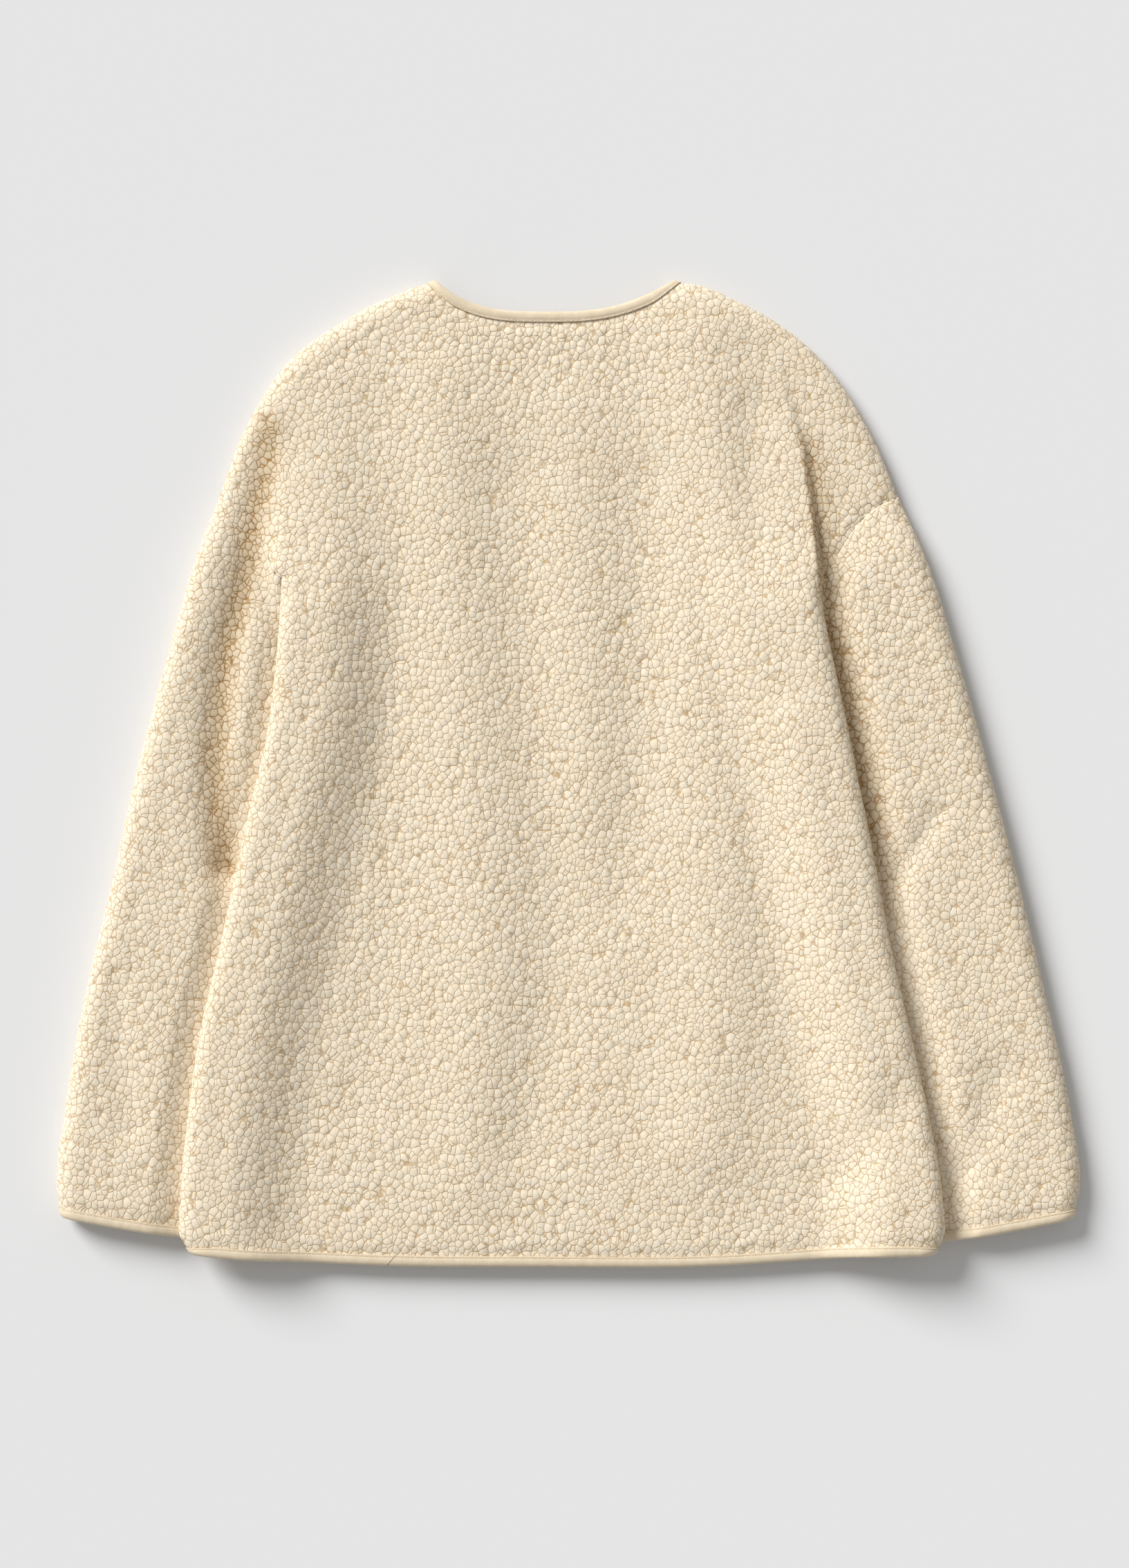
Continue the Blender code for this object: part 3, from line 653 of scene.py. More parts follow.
@dataclass
class ClothPiece:
    """A piece of fleece as a closed shell: a fine outer face, a plain inner one and the rims."""

    name: str
    nodes: tuple[str, ...]
    cut: tuple[float, float]
    area: float
    outer: Points = field(init=False, repr=False)
    inner: Points = field(init=False, repr=False)
    pile: Points = field(init=False, repr=False)
    # Painted shade at each point of the outer face, for the fleece's colour.
    shade: Points = field(init=False, repr=False)
    cloth: Cloth = Cloth()
    inner_step: int = 4

    def shell(self, closed: bool) -> bpy.types.Object:
        """Builds the shell from the outer and inner grids.

        Args:
            closed: Whether the last column joins the first, as on a tube.

        Returns:
            The object, with its place in the cloth and its share of pile at each point.
        """
        step = self.inner_step
        rows, columns = self.outer.shape[:2]
        coarse = self.inner[::step, ::step]
        out = np.arange(rows * columns).reshape(rows, columns)
        inn = out.size + np.arange(coarse.shape[0] * coarse.shape[1]).reshape(coarse.shape[:2])
        if closed:
            out = np.hstack([out, out[:, :1]])
            inn = np.hstack([inn, inn[:, :1]])
        faces = [*grid_faces(out), *grid_faces(inn)]
        in_grids = len(faces)
        rims = [(out[0], inn[0]), (out[-1], inn[-1])]
        if not closed:
            rims += [(out[:, 0], inn[:, 0]), (out[:, -1], inn[:, -1])]
        for fine, plain in rims:
            faces += rim_faces(fine, plain, step)
        points = np.concatenate([self.outer.reshape(-1, 3), coarse.reshape(-1, 3)])
        piece = mesh_piece(self.name, points, faces)
        piece.data.polygons.foreach_set("use_smooth", np.arange(len(faces)) < in_grids)
        pile = np.concatenate([self.pile.ravel(), np.zeros(coarse.shape[0] * coarse.shape[1])])
        shade = np.concatenate([self.shade.ravel(), self.shade[::step, ::step].ravel()])
        add_attribute(piece, CLOTH_PLACE, "FLOAT_VECTOR", points)
        add_attribute(piece, PILE_SHARE, "FLOAT", pile)
        add_attribute(piece, FOLD_SHADE, "FLOAT", shade)
        return piece

    def rim(self, row: int, inward: int) -> Rim:
        """The raw edge at a row, with the row further in where its binding ends."""
        return Rim(self.outer[row], self.inner[row], self.outer[inward], self.inner[inward])

    def declare(self, piece: bpy.types.Object) -> None:
        """Attaches the piece to the body and hides the model's parts that it stands for.

        Args:
            piece: The finished object.
        """
        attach(piece, BODY)
        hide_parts(*self.nodes)


@dataclass
class Panel(ClothPiece):
    """The back or the front, from hem to neck."""

    form: BodyForm = field(default_factory=BodyForm)
    face: Face = Face.BACK
    column_steps: int = 256
    seam_steps: int = 224
    armhole_steps: int = 40
    shoulder_steps: int = 72
    usual_width: float = 0.460

    def _row_ends(self, side: Side) -> Points:
        """Ends of the inner rows up one side: side seam, armhole, then shoulder seam.

        Args:
            side: Which side's.

        Returns:
            The points in plan.
        """
        seam, ridge = self.form.seams[side], self.form.shoulders[side]
        first = self.cloth.full_depth / lengths_along(seam)[-1]
        last = 1.0 - self.cloth.full_depth / lengths_along(ridge)[-1]
        hole = self.form.armholes[side]
        return np.concatenate([
            place(seam, np.linspace(first, 1.0, self.seam_steps + 1)),
            place(hole, np.linspace(0.0, 1.0, self.armhole_steps + 1))[1:-1],
            place(ridge, np.linspace(0.0, last, self.shoulder_steps + 1)),
        ])

    def _plan(self) -> tuple[Points, Points]:
        """Plan points, rows from hem to neck, and how deep each row lies from a bound edge.

        Returns:
            The points as rows of columns, and the depth of each row.
        """
        form, cloth = self.form, self.cloth
        q = cloth.columns(self.column_steps, self.usual_width)
        hem_edge = place(form.hem(self.face), q)
        neck_edge = place(form.neckline(self.face), q)[::-1]
        sides = (form.seams[Side.LEFT], form.seams[Side.RIGHT])
        ridges = (form.shoulders[Side.RIGHT][::-1], form.shoulders[Side.LEFT][::-1])
        depths = cloth.depths()
        hem_rows = [inset_row(hem_edge, depth, sides) for depth in depths]
        neck_rows = [inset_row(neck_edge, depth, ridges)[::-1] for depth in depths]
        left, right = self._row_ends(Side.LEFT), self._row_ends(Side.RIGHT)
        shares = [lengths_along(ends) / lengths_along(ends)[-1] for ends in (left, right)]
        t = (shares[0] + shares[1]) / 2
        middle = patch_between(hem_rows[-1], neck_rows[-1], left, right, q, t)
        plan = np.concatenate([np.array(hem_rows[:-1]), middle, np.array(neck_rows[-2::-1])])
        inner = np.full(len(middle), cloth.full_depth)
        return plan, np.concatenate([depths[:-1], inner, depths[-2::-1]])

    def shape(self) -> None:
        """Works out the outer and inner faces and where the pile stands."""
        form, cloth = self.form, self.cloth
        plan, depth = self._plan()
        shape = plan.shape[:2]
        xy = plan.reshape(-1, 2)
        depth = np.repeat(depth, shape[1])
        seams = [(form.seams[side], cloth.side_roll) for side in Side]
        share, shift = rolled(xy, [*seams, (form.ridge, cloth.ridge_roll)])
        shift = form.pinned(xy, shift)
        back, lower = form.heights(xy)
        lower = lower + cloth.raised(depth)
        crotch = form.crotch(xy)
        shift *= (1.0 - crotch)[:, None]
        meeting = (back + lower + (back - lower) * crotch) / 2
        height = back if self.face is Face.BACK else lower
        thick = cloth.thickness(depth)
        half = self.face.value * thick / 2
        base = meeting - (cloth.seam_gap * (1.0 - share) if self.face is Face.FRONT else 0.0)
        dip = sum(cloth.dip(xy, form.armholes[side], side) for side in Side) * self.face.value
        outer = np.column_stack([xy, base + (height + half - dip - meeting) * share])
        inner = np.column_stack([xy + shift * thick[:, None], base + (height - half - meeting) * share])
        self.outer = outer.reshape(*shape, 3)
        self.inner = inner.reshape(*shape, 3)
        self.pile = cloth.pile(depth).reshape(shape)
        self.shade = form.shade(xy).reshape(shape)


@dataclass
class Sleeve(ClothPiece):
    """A sleeve as one tube, half under the body, from the armhole to the cuff."""

    form: BodyForm = field(default_factory=BodyForm)
    side: Side = Side.LEFT
    outer_spans: tuple[Span, ...] = (
        Span(0.1561, -0.2634, 0.2521),
        Span(0.0777, -0.2864, 0.2771),
        Span(-0.0007, -0.3070, 0.2991),
        Span(-0.0791, -0.3246, 0.3197),
        Span(-0.1575, -0.3432, 0.3383),
        Span(-0.2359, -0.3570, 0.3555),
        Span(-0.2990, -0.3628, 0.3619),
    )
    inner_insets: tuple[Span, ...] = (
        Span(0.1300, 0.0014, 0.0014),
        Span(0.1180, 0.0032, 0.0032),
        Span(0.0980, 0.0045, 0.0045),
        Span(0.0800, 0.0080, 0.0080),
        Span(0.0600, 0.0240, 0.0260),
        Span(0.0350, 0.0340, 0.0400),
        Span(-0.0500, 0.0380, 0.0420),
        Span(-0.2000, 0.0410, 0.0400),
    )
    cuff_pairs: tuple[Pair, ...] = (
        Pair((-0.3600, -0.3138), (0.3582, -0.3148)),
        Pair((-0.3222, -0.3208), (0.3276, -0.3208)),
        Pair((-0.2790, -0.3276), (0.2860, -0.3284)),
        Pair((-0.2290, -0.3346), (0.2270, -0.3356)),
    )
    hidden_height: float = 0.0130
    rise: float = 0.0062
    rise_starts: float = 0.0
    rise_width: float = 0.0240
    crotch_reach: float = 0.0450
    folds: tuple[Fold, ...] = ()
    blend_share: float = 0.080
    width_steps: int = 64
    row_steps: int = 256
    inner_step: int = 2
    usual_width: float = 0.125

    def _outer_fold(self) -> Points:
        """The fold along the outside, from the shoulder point to the cuff.

        Returns:
            The line in plan.
        """
        side = self.side
        start, end = side.of(self.form.shoulder_point), side.of(self.cuff_pairs[0])
        return curve_through([start, *side.spots(self.outer_spans), end])

    def _inner_fold(self) -> Points:
        """The fold that goes down beside the body and then under it.

        Returns:
            The line in plan.
        """
        side, edge = self.side, self.form.edges[self.side]
        spots = [side.of(self.form.underarm)]
        for inset, y in side.spots(self.inner_insets):
            spots.append((np.interp(y, edge[:, 1], edge[:, 0]) - side.value * inset, y))
        return curve_through([*spots, side.of(self.cuff_pairs[-1])])

    def _cuff_row(self, edge: Points, depth: float, folds: tuple[Points, Points]) -> Points:
        """A row that follows the cuff at a depth up the sleeve.

        Args:
            edge: The cuff's edge from the outer fold to the inner one.
            depth: How far up the row lies.
            folds: The outer and the inner fold.

        Returns:
            The row.
        """
        ends = (folds[0][::-1], folds[1][::-1])
        if self.side is Side.LEFT:
            return inset_row(edge, depth, ends)
        return inset_row(edge[::-1], depth, ends[::-1])[::-1]

    def _heights(self, xy: Points) -> tuple[Points, Points]:
        """Mid-cloth heights of the upper and the lower layer.

        Args:
            xy: The points in plan.

        Returns:
            Heights of the upper layer, and of the lower one.
        """
        beyond = -self.form.inset(xy, self.side) - self.rise_starts
        top = self.hidden_height + self.rise * smooth(beyond / self.rise_width)
        top += folds_at(xy, self.folds)
        return top - self.cloth.thick / 2, np.full(len(xy), self.cloth.thick / 2)

    def shape(self) -> None:
        """Works out the outer and inner rings and where the pile stands."""
        form, cloth = self.form, self.cloth
        folds = (self._outer_fold(), self._inner_fold())
        cuff = curve_through([self.side.of(pair) for pair in self.cuff_pairs], 60)
        w = cloth.columns(self.width_steps, self.usual_width)
        t = np.linspace(0.0, 1.0, self.row_steps + 1)
        middle_end = 1.0 - cloth.full_depth / lengths_along(folds[0])[-1]
        depths = cloth.depths()
        cuffs = [self._cuff_row(place(cuff, w), depth, folds) for depth in depths]
        start = place(form.armholes[self.side][::-1], w)
        plan = patch_between(start, cuffs[-1], *(place(fold, t * middle_end) for fold in folds), w, t)
        plan = np.concatenate([plan, np.array(cuffs[-2::-1])])
        shape = plan.shape[:2]
        depth = np.concatenate([np.full(len(t), cloth.full_depth), depths[-2::-1]])
        depth = np.repeat(depth, shape[1])
        along = np.repeat(np.concatenate([t, np.ones(len(depths) - 1)]), shape[1])
        xy = plan.reshape(-1, 2)
        share, shift, blend = self._roll(plan, xy, along, folds)
        upper, lower = self._heights(xy)
        start_upper, start_lower = form.heights(plan[0])
        column = np.tile(np.arange(shape[1]), shape[0])
        dip = cloth.dip(xy, form.armholes[self.side], self.side)
        upper = start_upper[column] * (1 - blend) + upper * blend
        lower = start_lower[column] * (1 - blend) + lower * blend + cloth.raised(depth)
        crotch = form.crotch(xy) * (1 - blend) + form.crotch(xy, self.crotch_reach) * blend
        shift *= (1.0 - crotch)[:, None]
        meeting = (upper + lower + (upper - lower) * crotch) / 2
        thick = cloth.thickness(depth)
        rings = []
        for half, pull in ((0.5, dip), (-0.5, 0.0)):
            layer_xy = xy if half > 0 else xy + shift * thick[:, None]
            top = meeting + (upper + half * thick - pull - meeting) * share
            bottom = meeting + (lower - half * thick + pull - meeting) * share
            top = np.column_stack([layer_xy, top]).reshape(*shape, 3)
            bottom = np.column_stack([layer_xy, bottom]).reshape(*shape, 3)
            rings.append(ring_of(top, bottom))
        self.outer, self.inner = (self._parted(ring, plan) for ring in rings)
        pile, shade = cloth.pile(depth).reshape(shape), form.shade(xy).reshape(shape)
        self.pile, self.shade = ring_of(pile, pile), ring_of(shade, shade)

    def _roll(
        self, plan: Points, xy: Points, along: Points, folds: tuple[Points, Points]
    ) -> tuple[Points, Points, Points]:
        """Rolls the tube over at its folds, and as the body is rolled where it starts.

        Args:
            plan: Plan points as rows of columns.
            xy: The same points in one list.
            along: Share of the way down the sleeve at each point.
            folds: The outer and the inner fold.

        Returns:
            Share of full height, plan shift of the inner face, and the share of the sleeve's own
            form against the body's.
        """
        form, cloth = self.form, self.cloth
        shape = plan.shape[:2]
        column = np.tile(np.arange(shape[1]), shape[0])
        share, shift = rolled(xy, [(folds[0], cloth.ridge_roll), (folds[1], cloth.side_roll)])
        body_lines = [(form.seams[self.side], cloth.side_roll), (form.ridge, cloth.ridge_roll)]
        start_share, start_shift = rolled(plan[0], body_lines)
        start_shift = form.pinned(plan[0], start_shift)
        blend = smooth(along / self.blend_share)
        for fold, edge in zip(folds, (0, shape[1] - 1)):
            on = column == edge
            shift[on] = across_towards(xy[on], fold, plan[:, shape[1] // 2])
        start_shift[-1] = shift[shape[1] - 1]
        share = start_share[column] * (1 - blend) + share * blend
        shift = start_shift[column] * (1 - blend)[:, None] + shift * blend[:, None]
        return share, shift, blend

    def _parted(self, ring: Points, plan: Points) -> Points:
        """Moves the first ring off the armhole seam by the seam gap.

        Args:
            ring: The rings of one face of the wall.
            plan: Plan points as rows of columns.

        Returns:
            The rings with the first one moved.
        """
        along = unit(np.gradient(plan[0], axis=0))
        away = np.stack([-along[:, 1], along[:, 0]], axis=1)
        away *= np.sign((away * (plan[1] - plan[0])).sum(axis=1))[:, None]
        ring = ring.copy()
        ring[0, :, :2] += self.cloth.seam_gap * np.concatenate([away, away[-2:0:-1]])
        return ring


def ring_of(upper: Points, lower: Points) -> Points:
    """Joins each row of an upper layer to that of the lower one, back round to its start."""
    return np.concatenate([upper, lower[:, -2:0:-1]], axis=1)


def grid_faces(grid: Points) -> list[list[int]]:
    """Four-cornered faces over a grid of point numbers."""
    quads = np.stack([grid[:-1, :-1], grid[:-1, 1:], grid[1:, 1:], grid[1:, :-1]], axis=-1)
    return quads.reshape(-1, 4).tolist()


def rim_faces(fine: Points, plain: Points, step: int) -> list[tuple[int, int, int]]:
    """Joins a fine edge to a plain one with a fan of faces at each plain step.

    Args:
        fine: Point numbers along the fine edge.
        plain: Point numbers along the plain edge, one for each step of the fine one.
        step: How many fine steps make one plain step.

    Returns:
        The faces.
    """
    half = step // 2
    faces = []
    for k in range(len(plain) - 1):
        run = fine[k * step:(k + 1) * step + 1]
        faces += [(run[i], run[i + 1], plain[k] if i < half else plain[k + 1]) for i in range(step)]
        faces.append((plain[k], plain[k + 1], run[half]))
    return [tuple(int(corner) for corner in face) for face in faces]


def mesh_piece(name: str, points: Points, faces: Sequence) -> bpy.types.Object:
    """Makes a smooth-shaded object whose faces all point outward.

    Args:
        name: The name of the piece.
        points: Its points.
        faces: Point numbers of each face.

    Returns:
        The object, linked into the scene.
    """
    mesh = bpy.data.meshes.new(name)
    mesh.from_pydata(points.tolist(), [], faces)
    builder = bmesh.new()
    builder.from_mesh(mesh)
    bmesh.ops.recalc_face_normals(builder, faces=builder.faces)
    builder.to_mesh(mesh)
    builder.free()
    mesh.shade_smooth()
    piece = bpy.data.objects.new(name, mesh)
    bpy.context.scene.collection.objects.link(piece)
    return piece


def add_attribute(piece: bpy.types.Object, name: str, kind: str, values: Points) -> None:
    """Stores a value at each point of a piece for its material to read.

    Args:
        piece: The object.
        name: The name that the material reads.
        kind: What kind of value it is.
        values: One value for each point.
    """
    layer = piece.data.attributes.new(name, kind, "POINT")
    key = "vector" if kind == "FLOAT_VECTOR" else "value"
    layer.data.foreach_set(key, np.ascontiguousarray(values, np.float32).ravel())


@dataclass
class Graph:
    """A node tree with short ways to add to it."""

    tree: bpy.types.NodeTree

    def node(
        self, kind: str, inputs: dict | None = None, **settings: object
    ) -> bpy.types.Node:
        """Adds a node.

        Args:
            kind: Its type name.
            inputs: Values or sockets for its inputs, by name or number.
            settings: Its own settings.

        Returns:
            The node.
        """
        node = self.tree.nodes.new(kind)
        for key, value in settings.items():
            setattr(node, key, value)
        for key, value in (inputs or {}).items():
            if isinstance(value, bpy.types.NodeSocket):
                self.tree.links.new(value, node.inputs[key])
            else:
                node.inputs[key].default_value = value
        return node

    def math(self, operation: str, *values: object, clamp: bool = False) -> bpy.types.NodeSocket:
        """Adds a math node and returns its result."""
        inputs = dict(enumerate(values))
        return self.node("ShaderNodeMath", inputs, operation=operation, use_clamp=clamp).outputs[0]

    def vector(self, operation: str, *values: object) -> bpy.types.NodeSocket:
        """Adds a vector math node and returns its vector."""
        return self.node("ShaderNodeVectorMath", dict(enumerate(values)), operation=operation).outputs[0]

    def scaled(self, vector: object, factor: float) -> bpy.types.NodeSocket:
        """Multiplies a vector by one number."""
        inputs = {0: vector, "Scale": factor}
        return self.node("ShaderNodeVectorMath", inputs, operation="SCALE").outputs[0]

    def eased(self, value: object, low: float, high: float) -> bpy.types.NodeSocket:
        """Eases a value from 0 at low to 1 at high."""
        inputs = {"Value": value, "From Min": low, "From Max": high}
        return self.node("ShaderNodeMapRange", inputs, interpolation_type="SMOOTHSTEP").outputs[0]

    def noise(
        self, vector: object, size: float, detail: float = 2.0, output: str = "Fac"
    ) -> bpy.types.NodeSocket:
        """Adds soft noise whose lumps are about the given size."""
        inputs = {"Vector": vector, "Scale": 1.0 / size, "Detail": detail, "Roughness": 0.55}
        return self.node("ShaderNodeTexNoise", inputs).outputs[output]

    def cells(self, vector: object, feature: str) -> bpy.types.NodeSocket:
        """Adds cells and returns the distance from their middles, or to their edges."""
        inputs = {"Vector": vector, "Scale": 1.0}
        return self.node("ShaderNodeTexVoronoi", inputs, feature=feature).outputs["Distance"]

    def stored(self, name: str, output: str) -> bpy.types.NodeSocket:
        """Reads what is stored at the points of a piece."""
        return self.node("ShaderNodeAttribute", attribute_name=name).outputs[output]

    def mix(
        self, share: object, first: object, second: object, blend: str = "MIX"
    ) -> bpy.types.NodeSocket:
        """Mixes two colours.

        Args:
            share: Share of the second.
            first: A colour or a socket.
            second: A colour or a socket.
            blend: How they are mixed.

        Returns:
            The mixed colour.
        """
        inputs = {0: share, 6: first, 7: second}
        settings = {"data_type": "RGBA", "blend_type": blend}
        return self.node("ShaderNodeMix", inputs, **settings).outputs[2]

    def dress(
        self, colour: bpy.types.NodeSocket, relief: object = None, depth: float = 0.0
    ) -> None:
        """Gives the shader its colour, and a relief as bump of a depth.

        Args:
            colour: The colour.
            relief: The relief, or nothing for a plain surface.
            depth: How deep one unit of relief is.
        """
        shader = self.tree.nodes["Principled BSDF"]
        self.tree.links.new(colour, shader.inputs["Base Color"])
        if relief is not None:
            inputs = {"Height": relief, "Distance": depth, "Strength": 1.0}
            bump = self.node("ShaderNodeBump", inputs)
            self.tree.links.new(bump.outputs[0], shader.inputs["Normal"])


def new_material(name: str, **settings: float | Colour) -> tuple[bpy.types.Material, Graph]:
    """Makes a material.

    Args:
        name: Its name.
        settings: Constants of its shader, with an underscore for each space.

    Returns:
        The material, and its node tree to add to.
    """
    material = bpy.data.materials.new(name)
    material.use_nodes = True
    shader = material.node_tree.nodes["Principled BSDF"]
    for key, value in settings.items():
        shader.inputs[key.replace("_", " ")].default_value = value
    return material, Graph(material.node_tree)


@dataclass(frozen=True)
class TeddyPile:
    """Teddy fleece: a pile that has curled into rounded clumps, with tan shade painted into the creases
    between them.
    """

    top_colour: Colour = (0.860, 0.738, 0.552, 1.0)
    light_colour: Colour = (0.880, 0.775, 0.610, 1.0)
    # Painted shade colours: tan in the creases, and one for the left trough and the shadow beside the
    # right edge.
    crease_painted_shade_colour: Colour = (0.550, 0.375, 0.190, 1.0)
    fold_painted_shade_colour: Colour = (0.620, 0.500, 0.340, 1.0)
    clump: tuple[float, float, float] = (0.0043, 0.0050, 0.0046)
    warp: float = 0.0008
    warp_size: float = 0.0042
    relief: float = 0.0008
    middle: float = 0.62
    bump: float = 0.0006
    crease_width: float = 0.13
    crease_relief: float = 0.35
    closed_size: float = 0.0032
    closed_share: float = 0.35
    fibre_size: float = 0.0005
    fibre_relief: float = 0.24
    fibre_colour: float = 0.20
    patch_size: float = 0.010
    # How much painted shade the clumps' sides take, and how strongly the stored painted shade falls in
    # the creases and on the tops.
    dome_shade: float = 0.35
    fold_shades: tuple[float, float] = (1.35, 0.60)

    def clumps(self, graph: Graph, spot: bpy.types.NodeSocket) -> tuple:
        """Adds the nodes for the form of the clumps.

        Args:
            graph: The tree to add to, of a material or of geometry nodes.
            spot: The place in the cloth.

        Returns:
            The rounded form of the clumps, 1 at their tops, and the place in clump sizes.
        """
        push = graph.noise(spot, self.warp_size, 1.0, "Color")
        push = graph.vector("SUBTRACT", push, (0.5, 0.5, 0.5))
        bent = graph.vector("ADD", spot, graph.scaled(push, 2 * self.warp))
        cell_place = graph.vector("DIVIDE", bent, self.clump)
        dome = graph.math("POWER", graph.cells(cell_place, "F1"), 2.0)
        return graph.math("SUBTRACT", 1.0, dome), cell_place

    def raise_clumps(self, piece: bpy.types.Object) -> None:
        """Raises the clumps in the mesh itself, and keeps it on the surface that it rests on.

        Args:
            piece: The piece of fleece.
        """
        tree = bpy.data.node_groups.new("pile clumps", "GeometryNodeTree")
        for way in ("INPUT", "OUTPUT"):
            tree.interface.new_socket("Geometry", in_out=way, socket_type="NodeSocketGeometry")
        graph = Graph(tree)
        source = graph.node("NodeGroupInput")
        kind = "GeometryNodeInputNamedAttribute"
        spot = graph.node(kind, {"Name": CLOTH_PLACE}, data_type="FLOAT_VECTOR")
        share = graph.node(kind, {"Name": PILE_SHARE}, data_type="FLOAT")
        height = self.clumps(graph, spot.outputs[0])[0]
        rise = graph.math("MULTIPLY", graph.math("SUBTRACT", height, self.middle), self.relief)
        rise = graph.math("MULTIPLY", rise, share.outputs[0])
        normal = graph.node("GeometryNodeInputNormal").outputs[0]
        offset = graph.node("ShaderNodeVectorMath", {0: normal, "Scale": rise}, operation="SCALE")
        moved = graph.node(
            "GeometryNodeSetPosition", {"Geometry": source.outputs[0], "Offset": offset.outputs[0]}
        )
        graph.node("NodeGroupOutput", {0: moved.outputs[0]})
        modifier = piece.modifiers.new("pile clumps", "NODES")
        modifier.node_group = tree
        evaluated = piece.evaluated_get(bpy.context.evaluated_depsgraph_get())
        mesh = bpy.data.meshes.new_from_object(evaluated)
        piece.modifiers.clear()
        piece.data = mesh
        bpy.data.node_groups.remove(tree)
        points = np.empty(len(mesh.vertices) * 3, np.float32)
        mesh.vertices.foreach_get("co", points)
        points[2::3] = np.maximum(points[2::3], 0.0)
        mesh.vertices.foreach_set("co", points)
        mesh.update()

    def material(self) -> bpy.types.Material:
        """The finish of the fleece.

        Returns:
            The material.
        """
        material, graph = new_material(
            "teddy fleece", Roughness=0.95, Specular_IOR_Level=0.15, Sheen_Weight=0.10,
            Sheen_Roughness=0.6,
        )
        spot = graph.stored(CLOTH_PLACE, "Vector")
        dome, cell_place = self.clumps(graph, spot)
        edge = graph.cells(cell_place, "DISTANCE_TO_EDGE")
        open_share = graph.eased(edge, 0.0, self.crease_width)
        closed = graph.eased(graph.noise(spot, self.closed_size), 0.34, 0.60)
        closed = graph.math("MULTIPLY", closed, self.closed_share)
        shut = graph.math("SUBTRACT", 1.0, open_share)
        open_share = graph.math("MULTIPLY_ADD", shut, closed, open_share)
        fibres = graph.noise(spot, self.fibre_size)
        patches = graph.noise(spot, self.patch_size)
        dome_relief = graph.math("MULTIPLY", dome, 1.0 - self.crease_relief)
        height = graph.math("MULTIPLY_ADD", open_share, self.crease_relief, dome_relief)
        relief = graph.math("MULTIPLY_ADD", fibres, self.fibre_relief, height)
        tops = graph.mix(graph.eased(patches, 0.30, 0.70), self.top_colour, self.light_colour)
        # Painted shade: the creases and the clumps' sides turn towards the painted tan crease colour.
        dome_share = graph.math("MULTIPLY_ADD", dome, self.dome_shade, 1.0 - self.dome_shade)
        depth = graph.math("MULTIPLY", open_share, dome_share, clamp=True)
        pale = graph.eased(depth, 0.0, 0.75)
        pale = graph.math("MULTIPLY_ADD", fibres, self.fibre_colour, pale, clamp=True)
        colour = graph.mix(pale, self.crease_painted_shade_colour, tops)
        # Painted shade of the left trough and painted shadow beside the right edge, stronger in the
        # creases than on the tops.
        low, top = self.fold_shades
        shade = graph.math("MULTIPLY_ADD", depth, top - low, low)
        shade = graph.math("MULTIPLY", graph.stored(FOLD_SHADE, "Fac"), shade, clamp=True)
        colour = graph.mix(shade, colour, self.fold_painted_shade_colour, "MULTIPLY")
        graph.dress(colour, relief, self.bump)
        return material


@dataclass(frozen=True)
class KnitStrip:
    """Smooth fine-knit binding."""

    colour: Colour = (0.800, 0.680, 0.500, 1.0)
    shade_colour: Colour = (0.740, 0.610, 0.430, 1.0)
    join_colour: Colour = (0.330, 0.270, 0.190, 1.0)
    wale: float = 0.00075
    patch_size: float = 0.006
    grain_size: float = 0.0005
    rib_relief: float = 0.25
    patch_relief: float = 0.6
    join_relief: float = 1.5
    bump: float = 0.00012
    join_at: float | None = None
    join_slant: float = 0.75
    join_width: float = 0.00035

    def material(self, name: str) -> bpy.types.Material:
        """The finish of a strip, with its diagonal join where it has one.

        Args:
            name: The name of the material.

        Returns:
            The material.
        """
        material, graph = new_material(
            name, Roughness=0.8, Specular_IOR_Level=0.25, Sheen_Weight=0.15
        )
        spot = graph.stored(STRIP_PLACE, "Vector")
        along, across, _ = graph.node("ShaderNodeSeparateXYZ", {0: spot}).outputs
        patches = graph.noise(spot, self.patch_size)
        ribs = graph.math("SINE", graph.math("MULTIPLY", along, 2 * math.pi / self.wale))
        grain = graph.noise(spot, self.grain_size)
        relief = graph.math("MULTIPLY_ADD", patches, self.patch_relief, grain)
        relief = graph.math("MULTIPLY_ADD", ribs, self.rib_relief, relief)
        colour = graph.mix(graph.eased(patches, 0.30, 0.75), self.shade_colour, self.colour)
        if self.join_at is not None:
            slanted = graph.math("MULTIPLY_ADD", across, self.join_slant, along)
            away = graph.math("ABSOLUTE", graph.math("SUBTRACT", slanted, self.join_at))
            clear = graph.eased(away, self.join_width / 2, 1.5 * self.join_width)
            colour = graph.mix(clear, self.join_colour, colour)
            relief = graph.math("MULTIPLY_ADD", clear, self.join_relief, relief)
        graph.dress(colour, relief, self.bump)
        return material


@dataclass(frozen=True)
class Thread:
    """Sewing thread."""

    colour: Colour = (0.830, 0.720, 0.540, 1.0)
    dark_colour: Colour = (0.560, 0.440, 0.290, 1.0)
    twist_size: float = 0.0003

    def material(self) -> bpy.types.Material:
        """The finish of the stitches, with the twist of the thread.

        Returns:
            The material.
        """
        material, graph = new_material("thread", Roughness=0.6)
        spot = graph.node("ShaderNodeTexCoord").outputs["Object"]
        twist = graph.eased(graph.noise(spot, self.twist_size, 1.0), 0.25, 0.6)
        graph.dress(graph.mix(twist, self.dark_colour, self.colour))
        return material


